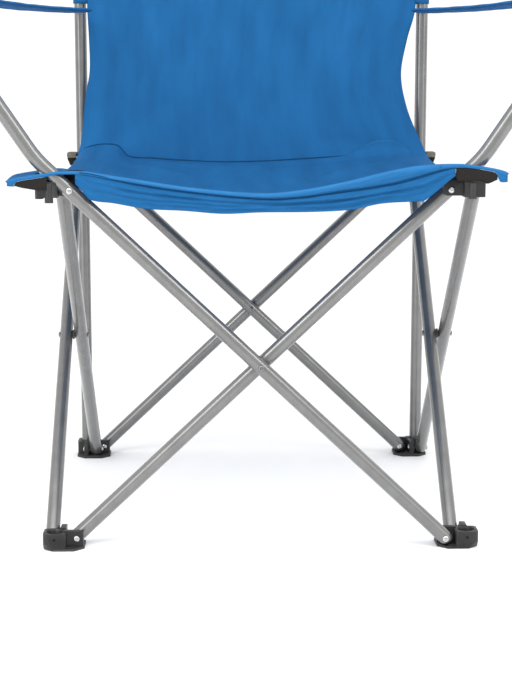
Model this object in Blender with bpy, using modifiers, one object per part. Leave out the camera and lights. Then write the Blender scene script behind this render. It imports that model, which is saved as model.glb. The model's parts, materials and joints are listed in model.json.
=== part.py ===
"""Quad-folding camp chair: four scissor pairs of steel tube between four feet and four brackets.

World axes: x across the chair, y from front to back, z up. The origin is on the floor under the centre.
Side 0 is the front, and sides 1, 2 and 3 (right, rear, left) are side 0 turned by quarter turns about z.
Corner 0 is the front right corner, and corners 1, 2 and 3 follow it by the same quarter turns.
"""

import math

import bmesh
import bpy
from mathutils import Matrix, Vector

# Driving dimensions, in metres
HALF_SPAN = 0.250            # centre of the chair to a post axis
TUBE_RADIUS = 0.0087
TUBE_WALL = 0.001
FOOT_PIVOT_HEIGHT = 0.0125
TOP_PIVOT_HEIGHT = 0.4345
PIVOT_INSET = 0.026          # post axis to the leg pivots, along a side
PLANE_INSET = 0.0045         # post axis to the middle plane of a scissor pair
BAR_OFFSET = 0.010           # middle plane to the axis of a bar
GAP = 0.0003                 # between pieces that touch

POST_FLOOR = 0.0053
POST_TOP = 0.860
SOCKET_HEIGHT = 0.0212
SOCKET_HALF_WIDTH = 0.014
BASE_THICKNESS = 0.0035
BRACKET_HALF_WIDTH = 0.013

ARM_STRAIGHT = 0.055         # top pivot to the middle of the arm's bend
ARM_BEND_RADIUS = 0.130
ARM_SLOPE = math.radians(56)
ARM_TOP = 0.648

HOLE_RADIUS = 0.0029
SHANK_RADIUS = 0.0025
HEAD_RADIUS = 0.0039
HEAD_HEIGHT = 0.0013
SCREW_HEIGHT = 0.0142        # of the post screws above the floor
SCREW_RADIUS = 0.0012

SHEET = 0.003                # thickness of the soft solids
SKIRT_SHEET = 0.0016
SEAT_FRONT = -0.2655
SEAT_FOLD = -0.015           # where the two halves of the seat meet
SEAT_REAR = 0.205
FRONT_HALF_WIDTH = 0.292
SIDE_HALF_WIDTH = 0.256       # of the seat behind its front corners
REAR_HALF_WIDTH = 0.250
WING_START = 0.210           # the corner flaps lie outside this x
BACK_BOTTOM = 0.449
BACK_SEAM = 0.668
BACK_TOP = 0.855
ARMREST_FRONT = -0.2579
ARMREST_REAR = 0.218

# Derived dimensions
PLANE = HALF_SPAN - PLANE_INSET
PIVOT = HALF_SPAN - PIVOT_INSET
RISE = TOP_PIVOT_HEIGHT - FOOT_PIVOT_HEIGHT
SLOPE = math.atan2(RISE, 2 * PIVOT)
BAR_LENGTH = math.hypot(RISE, 2 * PIVOT)
EAR_NEAR = 0.001             # an ear's plate, measured outwards from the middle plane
EAR_FAR = 0.0075
EAR_START = 0.011            # an ear's plate along its side, from the post axis
EAR_END = 0.0355
FOOT_EAR_END = 0.0340
BOSS_RADIUS = 0.0062
BOSS_FACE = TUBE_RADIUS - BAR_OFFSET + GAP
RIVET_SPAN = BAR_OFFSET + TUBE_RADIUS + EAR_FAR + 2 * GAP
CROSS_SPAN = 2 * (BAR_OFFSET + TUBE_RADIUS + GAP)
RIVET_SHIFT = (BAR_OFFSET + TUBE_RADIUS - EAR_FAR) / 2

SIDE_NAMES = ("front", "right", "rear", "left")
CORNER_NAMES = ("front_right", "rear_right", "rear_left", "front_left")

SEAT_HINGE_FRONT = (0, -0.222, 0.412)
SEAT_HINGE_REAR = (0, 0.200, 0.440)
ARMREST_HINGE_HEIGHT = 0.661

SEAT_COLUMNS = 12
FRONT_ROWS = 8
REAR_ROWS = 6
FLAP_ROWS = 2                # rows of the seat's front half that the corner flaps take up
WING_BACK = SEAT_FRONT + (SEAT_FOLD - GAP - SEAT_FRONT) * FLAP_ROWS / FRONT_ROWS

TUBE_SIDES = 12
SMALL_SIDES = 10
SHARP = math.radians(40)


# Scene and materials

def clear_scene():
    for obj in list(bpy.data.objects):
        bpy.data.objects.remove(obj)


def collection(name):
    made = bpy.data.collections.new(name)
    bpy.context.scene.collection.children.link(made)
    return made


def material(name, colour, roughness, metallic=0.0):
    made = bpy.data.materials.new(name)
    made.use_nodes = True
    shader = made.node_tree.nodes["Principled BSDF"]
    shader.inputs["Base Color"].default_value = (*colour, 1.0)
    shader.inputs["Roughness"].default_value = roughness
    shader.inputs["Metallic"].default_value = metallic
    return made


clear_scene()
CHAIR = collection("camp_chair")
HELPERS = collection("helpers")
POWDER_COAT = material("powder_coat", (0.36, 0.36, 0.36), 0.42, 0.35)
BLACK_PLASTIC = material("black_plastic", (0.025, 0.025, 0.027), 0.5)
STEEL = material("rivet_steel", (0.72, 0.72, 0.70), 0.25, 1.0)
BLUE_FABRIC = material("blue_polyester", (0.02, 0.14, 0.42), 0.8)
BLACK_WEBBING = material("black_webbing", (0.03, 0.03, 0.03), 0.85)


# Making and placing solids

def helper(mesh):
    obj = bpy.data.objects.new(mesh.name, mesh)
    obj.hide_render = True
    obj.display_type = "WIRE"
    HELPERS.objects.link(obj)
    return obj


def from_bmesh(name, cage):
    mesh = bpy.data.meshes.new(name)
    cage.normal_update()
    cage.to_mesh(mesh)
    cage.free()
    return mesh


def evaluated(obj, name):
    """The object's mesh with its modifiers applied, and the object removed."""
    graph = bpy.context.evaluated_depsgraph_get()
    mesh = bpy.data.meshes.new_from_object(obj.evaluated_get(graph))
    mesh.name = name
    bpy.data.objects.remove(obj)
    return mesh


def combined(name, base, joined=(), cut=()):
    """One mesh from the base with some shapes joined on and then others cut away."""
    body = helper(base)
    tools = []
    for operation, shapes in (("UNION", joined), ("DIFFERENCE", cut)):
        for shape in shapes:
            tool = helper(shape)
            tools.append(tool)
            boolean = body.modifiers.new(operation.lower(), "BOOLEAN")
            boolean.operation = operation
            boolean.solver = "EXACT"
            boolean.object = tool
    mesh = evaluated(body, name)
    for tool in tools:
        bpy.data.objects.remove(tool)
    return mesh


def place(name, mesh, finish, matrix=None):
    """A piece of the chair: its node, with a material, at a place in the world."""
    obj = bpy.data.objects.new(name, mesh)
    CHAIR.objects.link(obj)
    obj.matrix_world = matrix or Matrix()
    if not mesh.materials:
        mesh.materials.append(finish)
        mesh.shade_smooth()
        mesh.set_sharp_from_angle(angle=SHARP)


def block(low, high, rounded=None, radius=0.0, segments=3):
    """A box between two corners. rounded(direction, middle) picks the edges that are rounded."""
    low, high = Vector(low), Vector(high)
    cage = bmesh.new()
    bmesh.ops.create_cube(cage, size=1.0)
    for vertex in cage.verts:
        for axis in range(3):
            vertex.co[axis] = low[axis] if vertex.co[axis] < 0 else high[axis]
    if rounded:
        chosen = []
        for edge in cage.edges:
            start, end = (vertex.co for vertex in edge.verts)
            direction = max(range(3), key=lambda axis: abs(end[axis] - start[axis]))
            if rounded("xyz"[direction], (start + end) / 2):
                chosen.append(edge)
        bmesh.ops.bevel(cage, geom=chosen, offset=radius, segments=segments, profile=0.5, affect="EDGES")
    return from_bmesh("block", cage)


def rod(start, end, radius, end_radius=None, sides=SMALL_SIDES):
    """A cylinder or a cone between two points."""
    start, end = Vector(start), Vector(end)
    run = end - start
    turn = run.to_track_quat("Z", "Y").to_matrix().to_4x4()
    cage = bmesh.new()
    bmesh.ops.create_cone(
        cage,
        cap_ends=True,
        segments=sides,
        radius1=radius,
        radius2=radius if end_radius is None else end_radius,
        depth=run.length,
        matrix=Matrix.Translation((start + end) / 2) @ turn,
    )
    return from_bmesh("rod", cage)


def turned(name, profile, steps):
    """A turned solid about z: the profile's (radius, height) points run down its outer side."""
    cage = bmesh.new()
    previous = None
    for radius, height in profile:
        vertex = cage.verts.new((radius, 0, height))
        if previous:
            cage.edges.new((previous, vertex))
        previous = vertex
    if profile[0][0] > 0:
        cage.verts.ensure_lookup_table()
        cage.edges.new((previous, cage.verts[0]))
    obj = helper(from_bmesh(name, cage))
    screw = obj.modifiers.new("turn", "SCREW")
    screw.steps = steps
    screw.render_steps = steps
    screw.use_merge_vertices = True
    screw.merge_threshold = 0.00001
    return evaluated(obj, name)


def pipe(name, points, radius, scales=None, sides=TUBE_SIDES):
    """A closed pipe along the points, each with its own share of the radius."""
    curve = bpy.data.curves.new(name, "CURVE")
    curve.dimensions = "3D"
    curve.bevel_depth = radius
    curve.bevel_resolution = (sides - 4) // 2
    curve.use_fill_caps = True
    spline = curve.splines.new("POLY")
    spline.points.add(len(points) - 1)
    for number, point in enumerate(points):
        spline.points[number].co = (*point, 1.0)
        spline.points[number].radius = scales[number] if scales else 1.0
    obj = bpy.data.objects.new(name, curve)
    HELPERS.objects.link(obj)
    mesh = evaluated(obj, name)
    cage = bmesh.new()
    cage.from_mesh(mesh)
    bmesh.ops.remove_doubles(cage, verts=cage.verts, dist=0.000001)
    bmesh.ops.recalc_face_normals(cage, faces=cage.faces)
    bpy.data.meshes.remove(mesh)
    return from_bmesh(name, cage)


def side_frame(side):
    return Matrix.Rotation(math.radians(90 * side), 4, "Z")


def corner_frame(corner):
    """At the foot of a post, turned so that corner 0's sides run along -x and +y."""
    return side_frame(corner) @ Matrix.Translation((HALF_SPAN, -HALF_SPAN, 0))


# Scissor bars, in a frame with the foot pivot at the origin and the bar rising towards +x

def along_bar(distance):
    return Vector((math.cos(SLOPE), 0, math.sin(SLOPE))) * distance


def arm_path():
    """From the top pivot to the arm's end: straight, a bend, and straight at ARM_SLOPE."""
    bend = ARM_SLOPE - SLOPE
    start = BAR_LENGTH + ARM_STRAIGHT - ARM_BEND_RADIUS * math.tan(bend / 2)
    points = [along_bar(start)]
    steps = 5
    chord = 2 * ARM_BEND_RADIUS * math.sin(bend / steps / 2)
    for step in range(steps):
        angle = SLOPE + bend * (step + 0.5) / steps
        points.append(points[-1] + Vector((math.cos(angle), 0, math.sin(angle))) * chord)
    left = (ARM_TOP - FOOT_PIVOT_HEIGHT - points[-1].z) / math.sin(ARM_SLOPE)
    points.append(points[-1] + arm_direction() * left)
    return points


def arm_direction():
    return Vector((math.cos(ARM_SLOPE), 0, math.sin(ARM_SLOPE)))


def bar_mesh(name, with_arm):
    """A hollow tube with round ends at its pivots and three rivet holes."""
    turns = [math.radians(angle) for angle in (78, 52, 26)]
    points = [along_bar(-TUBE_RADIUS * math.sin(turn)) for turn in turns] + [along_bar(0)]
    scales = [math.cos(turn) for turn in turns] + [1.0]
    bore = [along_bar(-TUBE_WALL)]
    if with_arm:
        points += arm_path()
        scales += [1.0] * len(arm_path())
        bore += arm_path() + [arm_path()[-1] + arm_direction() * TUBE_RADIUS]
    else:
        points.append(along_bar(BAR_LENGTH))
        points += [along_bar(BAR_LENGTH + TUBE_RADIUS * math.sin(turn)) for turn in reversed(turns)]
        scales += [1.0] + scales[2::-1]
        bore.append(along_bar(BAR_LENGTH + TUBE_WALL))
    reach = Vector((0, 2 * TUBE_RADIUS, 0))
    holes = []
    for distance in (0, BAR_LENGTH / 2, BAR_LENGTH):
        holes.append(rod(along_bar(distance) - reach, along_bar(distance) + reach, HOLE_RADIUS))
    cutters = [pipe("bore", bore, TUBE_RADIUS - TUBE_WALL)] + holes
    return combined(name, pipe(name, points, TUBE_RADIUS, scales), cut=cutters)


def bar_matrix(side, outer):
    """The outer bar starts at the side's +x foot and runs towards -x, the inner bar the other way."""
    if outer:
        start = Matrix.Translation((PIVOT, -(PLANE + BAR_OFFSET), FOOT_PIVOT_HEIGHT))
        return side_frame(side) @ start @ Matrix.Rotation(math.pi, 4, "Z")
    return side_frame(side) @ Matrix.Translation((-PIVOT, -(PLANE - BAR_OFFSET), FOOT_PIVOT_HEIGHT))


def make_bars():
    plain = bar_mesh("plain_bar", with_arm=False)
    armed = bar_mesh("arm_bar", with_arm=True)
    for side, side_name in enumerate(SIDE_NAMES):
        mesh = armed if side_name == "front" else plain
        for outer in (True, False):
            name = f"bar_{side_name}_{'outer' if outer else 'inner'}"
            place(name, mesh, POWDER_COAT, bar_matrix(side, outer))


# Feet and brackets, in the corner's frame: the first side runs along -x, the second along +y

def ear(second_side, bar_inside, low, high, end, radius, round_bottom):
    """An ear's plate and its boss, on the other side of the middle plane from the bar."""
    near, far, face = EAR_NEAR, EAR_FAR, BOSS_FACE
    if not bar_inside:
        near, far, face = -near, -far, -face
    spread = sorted((near, far))
    boss = sorted((face, near))
    if second_side:
        plate = ((spread[0] - PLANE_INSET, EAR_START, low), (spread[1] - PLANE_INSET, end, high))
        knob = [(offset - PLANE_INSET, PIVOT_INSET) for offset in boss]
        thickness, tip = "x", end
    else:
        plate = ((-end, -spread[1] + PLANE_INSET, low), (-EAR_START, -spread[0] + PLANE_INSET, high))
        knob = [(-PIVOT_INSET, -offset + PLANE_INSET) for offset in boss]
        thickness, tip = "y", -end
    along = 1 if second_side else 0

    def at_tip(direction, middle):
        if direction != thickness or abs(middle[along] - tip) > GAP:
            return False
        return round_bottom or middle.z > (low + high) / 2

    height = FOOT_PIVOT_HEIGHT if low < TOP_PIVOT_HEIGHT / 2 else TOP_PIVOT_HEIGHT
    sunk = 0.001
    outward = (Vector(knob[1]) - Vector(knob[0])).normalized() * sunk
    ends = [Vector(knob[0]), Vector(knob[1])]
    if abs(boss[0] - near) < GAP / 10:
        ends[0] = ends[0] - outward
    else:
        ends[1] = ends[1] + outward
    ends = [(end_point.x, end_point.y, height) for end_point in ends]
    return block(*plate, at_tip, radius, 4), rod(*ends, BOSS_RADIUS)


def ear_hole(second_side, height):
    reach = 0.020
    if second_side:
        return rod((-reach, PIVOT_INSET, height), (reach, PIVOT_INSET, height), HOLE_RADIUS)
    return rod((-PIVOT_INSET, -reach, height), (-PIVOT_INSET, reach, height), HOLE_RADIUS)


def upright(direction, _middle):
    return direction == "z"


def foot_mesh():
    """A base plate, a square socket about the post axis and two ears for the bars' lower ends."""
    inner, half, sunk = -0.0352, SOCKET_HALF_WIDTH, 0.001
    plate = block((inner, -half, 0), (half, -inner, BASE_THICKNESS), upright, 0.012, 1)
    socket = block((-half, -half, sunk), (half, half, SOCKET_HEIGHT), upright, 0.004)
    ear_top, ear_radius = 0.0226, 0.006
    first = ear(False, False, sunk, ear_top, FOOT_EAR_END, ear_radius, round_bottom=False)
    second = ear(True, True, sunk, ear_top, FOOT_EAR_END, ear_radius, round_bottom=False)
    bore_radius = TUBE_RADIUS + 1.5 * GAP
    bore = rod((0, 0, POST_FLOOR - GAP), (0, 0, SOCKET_HEIGHT + sunk), bore_radius, sides=TUBE_SIDES)
    mouth_depth, mouth_radius = 0.002, 0.0105
    mouth = rod(
        (0, 0, SOCKET_HEIGHT - mouth_depth),
        (0, 0, SOCKET_HEIGHT + GAP),
        bore_radius + GAP,
        mouth_radius,
        sides=TUBE_SIDES,
    )
    screw_hole = SCREW_RADIUS + GAP
    front_hole = rod((0, -half - sunk, SCREW_HEIGHT), (0, 0, SCREW_HEIGHT), screw_hole, sides=8)
    side_hole = rod((0, 0, SCREW_HEIGHT), (half + sunk, 0, SCREW_HEIGHT), screw_hole, sides=8)
    cuts = [bore, mouth, front_hole, side_hole, corner_wedge()]
    cuts += [ear_hole(second_side, FOOT_PIVOT_HEIGHT) for second_side in (False, True)]
    return combined("foot", plate, [socket, *first, *second], cuts)


def corner_wedge():
    """A block that slants away the outer lower corner of a foot."""
    size, out, lean = 0.030, 0.0113, math.radians(34)
    mesh = block((0, -size, -size), (size, size, size))
    outward = Vector((1, -1, 0)).normalized() * out
    turn = Matrix.Rotation(math.radians(-45), 4, "Z") @ Matrix.Rotation(lean, 4, "Y")
    mesh.transform(Matrix.Translation(outward) @ turn)
    return mesh


def bracket_mesh(name, bored, notch=None, peg=False):
    """A block about the post axis with a rib, a peg on one of them, and two ears for the bars' upper ends."""
    top, half = TOP_PIVOT_HEIGHT, BRACKET_HALF_WIDTH
    low, high = top - 0.008, top + 0.010
    body = block((0.001 - half, -half, low), (half, half - 0.001, high), upright, 0.002, 2)
    ear_low, ear_high, ear_radius = top - 0.0068, top + 0.0118, 0.005
    first = ear(False, True, ear_low, ear_high, EAR_END, ear_radius, round_bottom=True)
    second = ear(True, False, ear_low, ear_high, EAR_END, ear_radius, round_bottom=True)
    rib_radius, rib_shift, rib_out, rib_top = 0.005, 0.002, 0.0105, top + 0.0085
    ribs = [rod((-rib_shift, -rib_out, top - 0.010), (-rib_shift, -rib_out, rib_top), rib_radius)]
    if peg:
        ribs.append(rod((rib_out, rib_shift, top - 0.014), (rib_out, rib_shift, rib_top), rib_radius))
    cuts = [ear_hole(second_side, top) for second_side in (False, True)]
    if bored:
        reach = 0.020
        bore_radius = TUBE_RADIUS + 1.5 * GAP
        cuts.append(rod((0, 0, top - reach), (0, 0, top + reach), bore_radius, sides=TUBE_SIDES))
    if notch:
        cuts.append(notch)
    return combined(name, body, [*first, *second, *ribs], cuts)


def arm_notch(corner):
    """Room for the arm that rises past the bracket, as a cylinder along the bar's line."""
    reach, clear = 0.060, TUBE_RADIUS + 2 * GAP
    rise = Vector((math.cos(SLOPE), 0, math.sin(SLOPE))) * reach
    if corner == 0:
        start = Vector((-PIVOT_INSET, PLANE_INSET + BAR_OFFSET, TOP_PIVOT_HEIGHT))
        return rod(start, start + rise, clear, sides=TUBE_SIDES)
    start = Vector((BAR_OFFSET - PLANE_INSET, PIVOT_INSET, TOP_PIVOT_HEIGHT))
    return rod(start, start + Vector((0, -rise.x, rise.z)), clear, sides=TUBE_SIDES)


def make_feet_and_brackets():
    foot = foot_mesh()
    sliding = bracket_mesh("sliding_bracket", bored=True)
    for corner, name in enumerate(CORNER_NAMES):
        place(f"foot_{name}", foot, BLACK_PLASTIC, corner_frame(corner))
        bracket = sliding
        if name.startswith("front"):
            peg = name == "front_left"
            bracket = bracket_mesh("front_bracket", bored=False, notch=arm_notch(corner), peg=peg)
        place(f"bracket_{name}", bracket, BLACK_PLASTIC, corner_frame(corner))


# Rivets and spacers, turned about z and then laid along a side's normal

def rivet_mesh(name, span):
    half, tip = span / 2, span / 2 + HEAD_HEIGHT
    dome = [(0, tip), (0.6 * HEAD_RADIUS, tip - 0.2 * HEAD_HEIGHT), (HEAD_RADIUS, half + 0.3 * HEAD_HEIGHT)]
    upper = dome + [(HEAD_RADIUS, half), (SHANK_RADIUS, half)]
    return turned(name, upper + [(radius, -height) for radius, height in reversed(upper)], SMALL_SIDES)


def spacer_mesh():
    half = BAR_OFFSET - TUBE_RADIUS - GAP
    outer = 0.0065
    ring = [(outer, half), (outer, -half), (HOLE_RADIUS, -half), (HOLE_RADIUS, half)]
    return turned("spacer", ring, SMALL_SIDES)


def across_side(side, x, y, z):
    return side_frame(side) @ Matrix.Translation((x, y, z)) @ Matrix.Rotation(math.pi / 2, 4, "X")


def make_rivets():
    end_rivet = rivet_mesh("end_rivet", RIVET_SPAN)
    cross_rivet = rivet_mesh("cross_rivet", CROSS_SPAN)
    spacer = spacer_mesh()
    middle = FOOT_PIVOT_HEIGHT + RISE / 2
    outer_y, inner_y = -(PLANE + RIVET_SHIFT), -(PLANE - RIVET_SHIFT)
    for side, side_name in enumerate(SIDE_NAMES):
        place(f"cross_rivet_{side_name}", cross_rivet, STEEL, across_side(side, 0, -PLANE, middle))
        place(f"cross_spacer_{side_name}", spacer, BLACK_PLASTIC, across_side(side, 0, -PLANE, middle))
        ends = (
            ("foot_rivet", "outer", PIVOT, outer_y, FOOT_PIVOT_HEIGHT),
            ("foot_rivet", "inner", -PIVOT, inner_y, FOOT_PIVOT_HEIGHT),
            ("bracket_rivet", "outer", -PIVOT, outer_y, TOP_PIVOT_HEIGHT),
            ("bracket_rivet", "inner", PIVOT, inner_y, TOP_PIVOT_HEIGHT),
        )
        for kind, bar, x, y, z in ends:
            place(f"{kind}_{side_name}_{bar}", end_rivet, STEEL, across_side(side, x, y, z))


# Back posts, their screws, and the caps of the posts and the arms

def post_mesh(screw_direction):
    ring = [
        (TUBE_RADIUS, POST_TOP),
        (TUBE_RADIUS, POST_FLOOR),
        (TUBE_RADIUS - TUBE_WALL, POST_FLOOR),
        (TUBE_RADIUS - TUBE_WALL, POST_TOP),
    ]
    tube = turned("post", ring, TUBE_SIDES)
    centre = Vector((0, 0, SCREW_HEIGHT))
    hole = rod(centre, centre + Vector(screw_direction) * 2 * TUBE_RADIUS, SCREW_RADIUS + GAP, sides=8)
    return combined("post", tube, cut=[hole])


def screw_mesh():
    """A post screw: its head outside the socket, its tip inside the post."""
    head_radius, face = 0.0026, SOCKET_HALF_WIDTH + GAP
    tip = 0.005
    profile = [
        (0, face + HEAD_HEIGHT),
        (head_radius * 0.7, face + HEAD_HEIGHT),
        (head_radius, face + HEAD_HEIGHT / 2),
        (head_radius, face),
        (SCREW_RADIUS, face),
        (SCREW_RADIUS, tip + SCREW_RADIUS),
        (0, tip),
    ]
    return turned("post_screw", profile, SMALL_SIDES)


def cap_mesh():
    """A plastic cup over the end of a tube that ends at the origin and points up."""
    bore, wall, skirt, crown = TUBE_RADIUS + GAP, 0.0012, 0.011, 0.003
    outer = bore + wall
    profile = [
        (0, crown),
        (0.65 * outer, crown * 0.9),
        (outer, crown * 0.35),
        (outer, -skirt),
        (bore, -skirt),
        (bore, GAP),
        (0, GAP),
    ]
    return turned("tube_cap", profile, TUBE_SIDES)


def make_posts_and_caps():
    cap = cap_mesh()
    screw = screw_mesh()
    for corner in (1, 2):
        side_name = CORNER_NAMES[corner].split("_")[1]
        frame = corner_frame(corner)
        place(f"post_{side_name}", post_mesh((0, -1, 0)), POWDER_COAT, frame)
        place(f"post_cap_{side_name}", cap, BLACK_PLASTIC, frame @ Matrix.Translation((0, 0, POST_TOP)))
        lying = Matrix.Translation((0, 0, SCREW_HEIGHT)) @ Matrix.Rotation(math.pi / 2, 4, "X")
        place(f"post_screw_{side_name}", screw, STEEL, frame @ lying)
    lean = Matrix.Translation(arm_path()[-1]) @ Matrix.Rotation(math.pi / 2 - ARM_SLOPE, 4, "Y")
    place("arm_cap_left", cap, BLACK_PLASTIC, bar_matrix(0, outer=True) @ lean)
    place("arm_cap_right", cap, BLACK_PLASTIC, bar_matrix(0, outer=False) @ lean)


# Soft pieces: sheets over a grid of u across and v along, thickened to one side

def sheet(surface, columns, rows, thickness, keep=None):
    cage = bmesh.new()
    bmesh.ops.create_grid(cage, x_segments=columns, y_segments=rows, size=0.5)
    for vertex in cage.verts:
        vertex.co = surface(2 * vertex.co.x, vertex.co.y + 0.5)
    if keep:
        dropped = [face for face in cage.faces if not keep(face.calc_center_median())]
        bmesh.ops.delete(cage, geom=dropped, context="FACES")
    obj = helper(from_bmesh("sheet", cage))
    solid = obj.modifiers.new("thickness", "SOLIDIFY")
    solid.thickness = thickness
    solid.offset = -1.0
    return evaluated(obj, "sheet")


def front_height(x):
    """The front edge of the seat sags between its corners and falls again towards its tips."""
    corner = 0.235
    if abs(x) < corner:
        return 0.4365 + 0.0265 * (abs(x) / corner) ** 1.6
    return 0.463 - 0.011 * (abs(x) - corner) / (FRONT_HALF_WIDTH - corner)


def seat_height(x, y):
    v = (y - SEAT_FRONT) / (SEAT_REAR - SEAT_FRONT)
    u = min(1.0, abs(x) / seat_half_width(y))
    rear_height = 0.446 + 0.008 * u * u
    side_sag, middle_sag = 0.010, 0.024
    sag = side_sag + middle_sag * (1 - u * u)
    return (1 - v) * front_height(x) + v * rear_height - sag * 4 * v * (1 - v)


def seat_half_width(y):
    v = (y - SEAT_FRONT) / (SEAT_REAR - SEAT_FRONT)
    return SIDE_HALF_WIDTH + (REAR_HALF_WIDTH - SIDE_HALF_WIDTH) * v


def seat_surface(front, back):
    """The middle two thirds of the columns lie inside WING_START, and the rest reach the edges."""
    inner = 2 / 3

    def surface(u, v):
        y = front + (back - front) * v
        x = WING_START * abs(u) / inner
        if abs(u) > inner:
            x = WING_START + (seat_half_width(y) - WING_START) * (abs(u) - inner) / (1 - inner)
        x = math.copysign(x, u)
        return Vector((x, y, seat_height(x, y)))

    return surface


def make_seat():
    def between_flaps(middle):
        return abs(middle.x) < WING_START or middle.y > WING_BACK

    front = seat_surface(SEAT_FRONT, SEAT_FOLD - GAP)
    rear = seat_surface(SEAT_FOLD, SEAT_REAR)
    place("seat_front", sheet(front, SEAT_COLUMNS, FRONT_ROWS, SHEET, between_flaps), BLUE_FABRIC)
    place("seat_rear", sheet(rear, SEAT_COLUMNS, REAR_ROWS, SHEET), BLUE_FABRIC)


def make_skirt():
    """The hem that hangs from the seat's front edge, cut back at its ends above the arms' tubes."""
    half_width = 0.204

    def surface(u, v):
        x = u * half_width * (1 - 0.12 * (1 - v))
        top = front_height(x) - SHEET - 2 * GAP
        hem = 0.408 + 0.013 * u * u
        return Vector((x, SEAT_FRONT + SKIRT_SHEET, hem + (top - hem) * v))

    place("seat_skirt", sheet(surface, 12, 2, -SKIRT_SHEET), BLUE_FABRIC)


def make_corner_flaps():
    """The seat's front corners, with room for the arm tube that rises through each of them."""
    for side, direction in (("left", -1), ("right", 1)):
        inner, outer = WING_START + GAP, FRONT_HALF_WIDTH

        def surface(u, v, direction=direction, inner=inner, outer=outer):
            x = direction * (inner + outer + direction * u * (outer - inner)) / 2
            y = SEAT_FRONT + (WING_BACK - GAP - SEAT_FRONT) * v
            return Vector((x, y, seat_height(x, y)))

        offset = BAR_OFFSET if side == "left" else -BAR_OFFSET
        pivot = Vector((direction * PIVOT, -(PLANE + offset), TOP_PIVOT_HEIGHT))
        reach = Vector((direction * math.cos(SLOPE), 0, math.sin(SLOPE))) * 0.06
        slot = rod(pivot, pivot + reach, TUBE_RADIUS + 0.0015, sides=TUBE_SIDES)
        flap = combined("flap", sheet(surface, 4, 3, SHEET), cut=[slot])
        place(f"seat_flap_{side}", flap, BLUE_FABRIC)


def make_rear_tabs():
    """Folded webbing tips on top of the sliding brackets, outside the posts."""
    inner, outer = HALF_SPAN + 0.0092, HALF_SPAN + 0.0225
    front, back = HALF_SPAN - 0.011, HALF_SPAN + 0.012
    low, high = TOP_PIVOT_HEIGHT + 0.0104, TOP_PIVOT_HEIGHT + 0.0225
    for side, direction in (("left", -1), ("right", 1)):
        near, far = sorted((direction * inner, direction * outer))
        tab = block((near, front, low), (far, back, high), lambda along, middle: along == "y", 0.003, 2)
        place(f"rear_tab_{side}", tab, BLACK_WEBBING)


def back_half_width(z):
    """The lower back is widest at the seat and narrowest part of the way up."""
    waist_height, waist = 0.575, 0.228
    return waist + 0.022 * ((z - waist_height) / (waist_height - BACK_BOTTOM)) ** 2


def make_back():
    def lower(u, v):
        z = BACK_BOTTOM + (BACK_SEAM - GAP - BACK_BOTTOM) * v
        y = SEAT_REAR + SHEET + 3 * GAP + 0.0275 * math.sin(v * math.pi / 2) - 0.002 * v * (1 - u * u)
        return Vector((u * min(back_half_width(z), 0.246), y, z))

    def upper(u, v):
        z = BACK_SEAM + GAP + (BACK_TOP - BACK_SEAM - GAP) * v
        return Vector((u * 0.2615, 0.2365 - 0.003 * (1 - u * u), z))

    place("back_lower", sheet(lower, 10, 6, -SHEET), BLUE_FABRIC)
    place("back_upper", sheet(upper, 8, 4, -SHEET), BLUE_FABRIC)


def make_armrests():
    """A padded strap from above each arm's cap back to the post."""
    bottom, thickness, half_width = ARM_TOP + 0.0095, 0.007, 0.0275
    for side, outer, direction in (("left", True, -1), ("right", False, 1)):
        tube_end = bar_matrix(0, outer) @ arm_path()[-1]
        front = Vector((tube_end.x - direction * 0.002, ARMREST_FRONT, bottom + thickness / 2))
        back = Vector((direction * (HALF_SPAN + 0.006), ARMREST_REAR, bottom + thickness / 2))
        run = back - front
        half = Vector((half_width, run.length / 2, thickness / 2))
        strap = block(-half, half, lambda direction, middle: direction == "y", 0.003, 2)
        turn = Matrix.Rotation(math.atan2(-run.x, run.y), 4, "Z")
        place(f"armrest_{side}", strap, BLUE_FABRIC, Matrix.Translation((front + back) / 2) @ turn)


# Bodies: each hangs from an empty on its joint's axis, under the body that it turns on

def body_pivots():
    """Each body's parent and the point that it turns about, parents first."""
    low, middle, high = FOOT_PIVOT_HEIGHT, FOOT_PIVOT_HEIGHT + RISE / 2, TOP_PIVOT_HEIGHT

    def at(side_name, x, z):
        return side_frame(SIDE_NAMES.index(side_name)) @ Vector((x, -PLANE, z))

    return {
        "leg_rear_left": (None, Vector((-HALF_SPAN, HALF_SPAN, 0))),
        "bar_rear_outer": ("leg_rear_left", at("rear", PIVOT, low)),
        "bar_rear_inner": ("bar_rear_outer", at("rear", 0, middle)),
        "leg_rear_right": ("bar_rear_inner", at("rear", -PIVOT, low)),
        "bracket_rear_left": ("bar_rear_inner", at("rear", PIVOT, high)),
        "bracket_rear_right": ("bar_rear_outer", at("rear", -PIVOT, high)),
        "bar_left_inner": ("leg_rear_left", at("left", -PIVOT, low)),
        "bar_left_outer": ("bar_left_inner", at("left", 0, middle)),
        "foot_front_left": ("bar_left_outer", at("left", PIVOT, low)),
        "bracket_front_left": ("bar_left_inner", at("left", PIVOT, high)),
        "bar_front_inner": ("foot_front_left", at("front", -PIVOT, low)),
        "bar_front_outer": ("bar_front_inner", at("front", 0, middle)),
        "foot_front_right": ("bar_front_outer", at("front", PIVOT, low)),
        "bracket_front_right": ("bar_front_inner", at("front", PIVOT, high)),
        "bar_right_outer": ("leg_rear_right", at("right", PIVOT, low)),
        "bar_right_inner": ("bar_right_outer", at("right", 0, middle)),
        "seat_front": ("bracket_front_left", Vector(SEAT_HINGE_FRONT)),
        "seat_rear": ("bracket_rear_left", Vector(SEAT_HINGE_REAR)),
        "armrest_left": ("leg_rear_left", Vector((-HALF_SPAN, HALF_SPAN, ARMREST_HINGE_HEIGHT))),
        "armrest_right": ("leg_rear_right", Vector((HALF_SPAN, HALF_SPAN, ARMREST_HINGE_HEIGHT))),
    }


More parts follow.
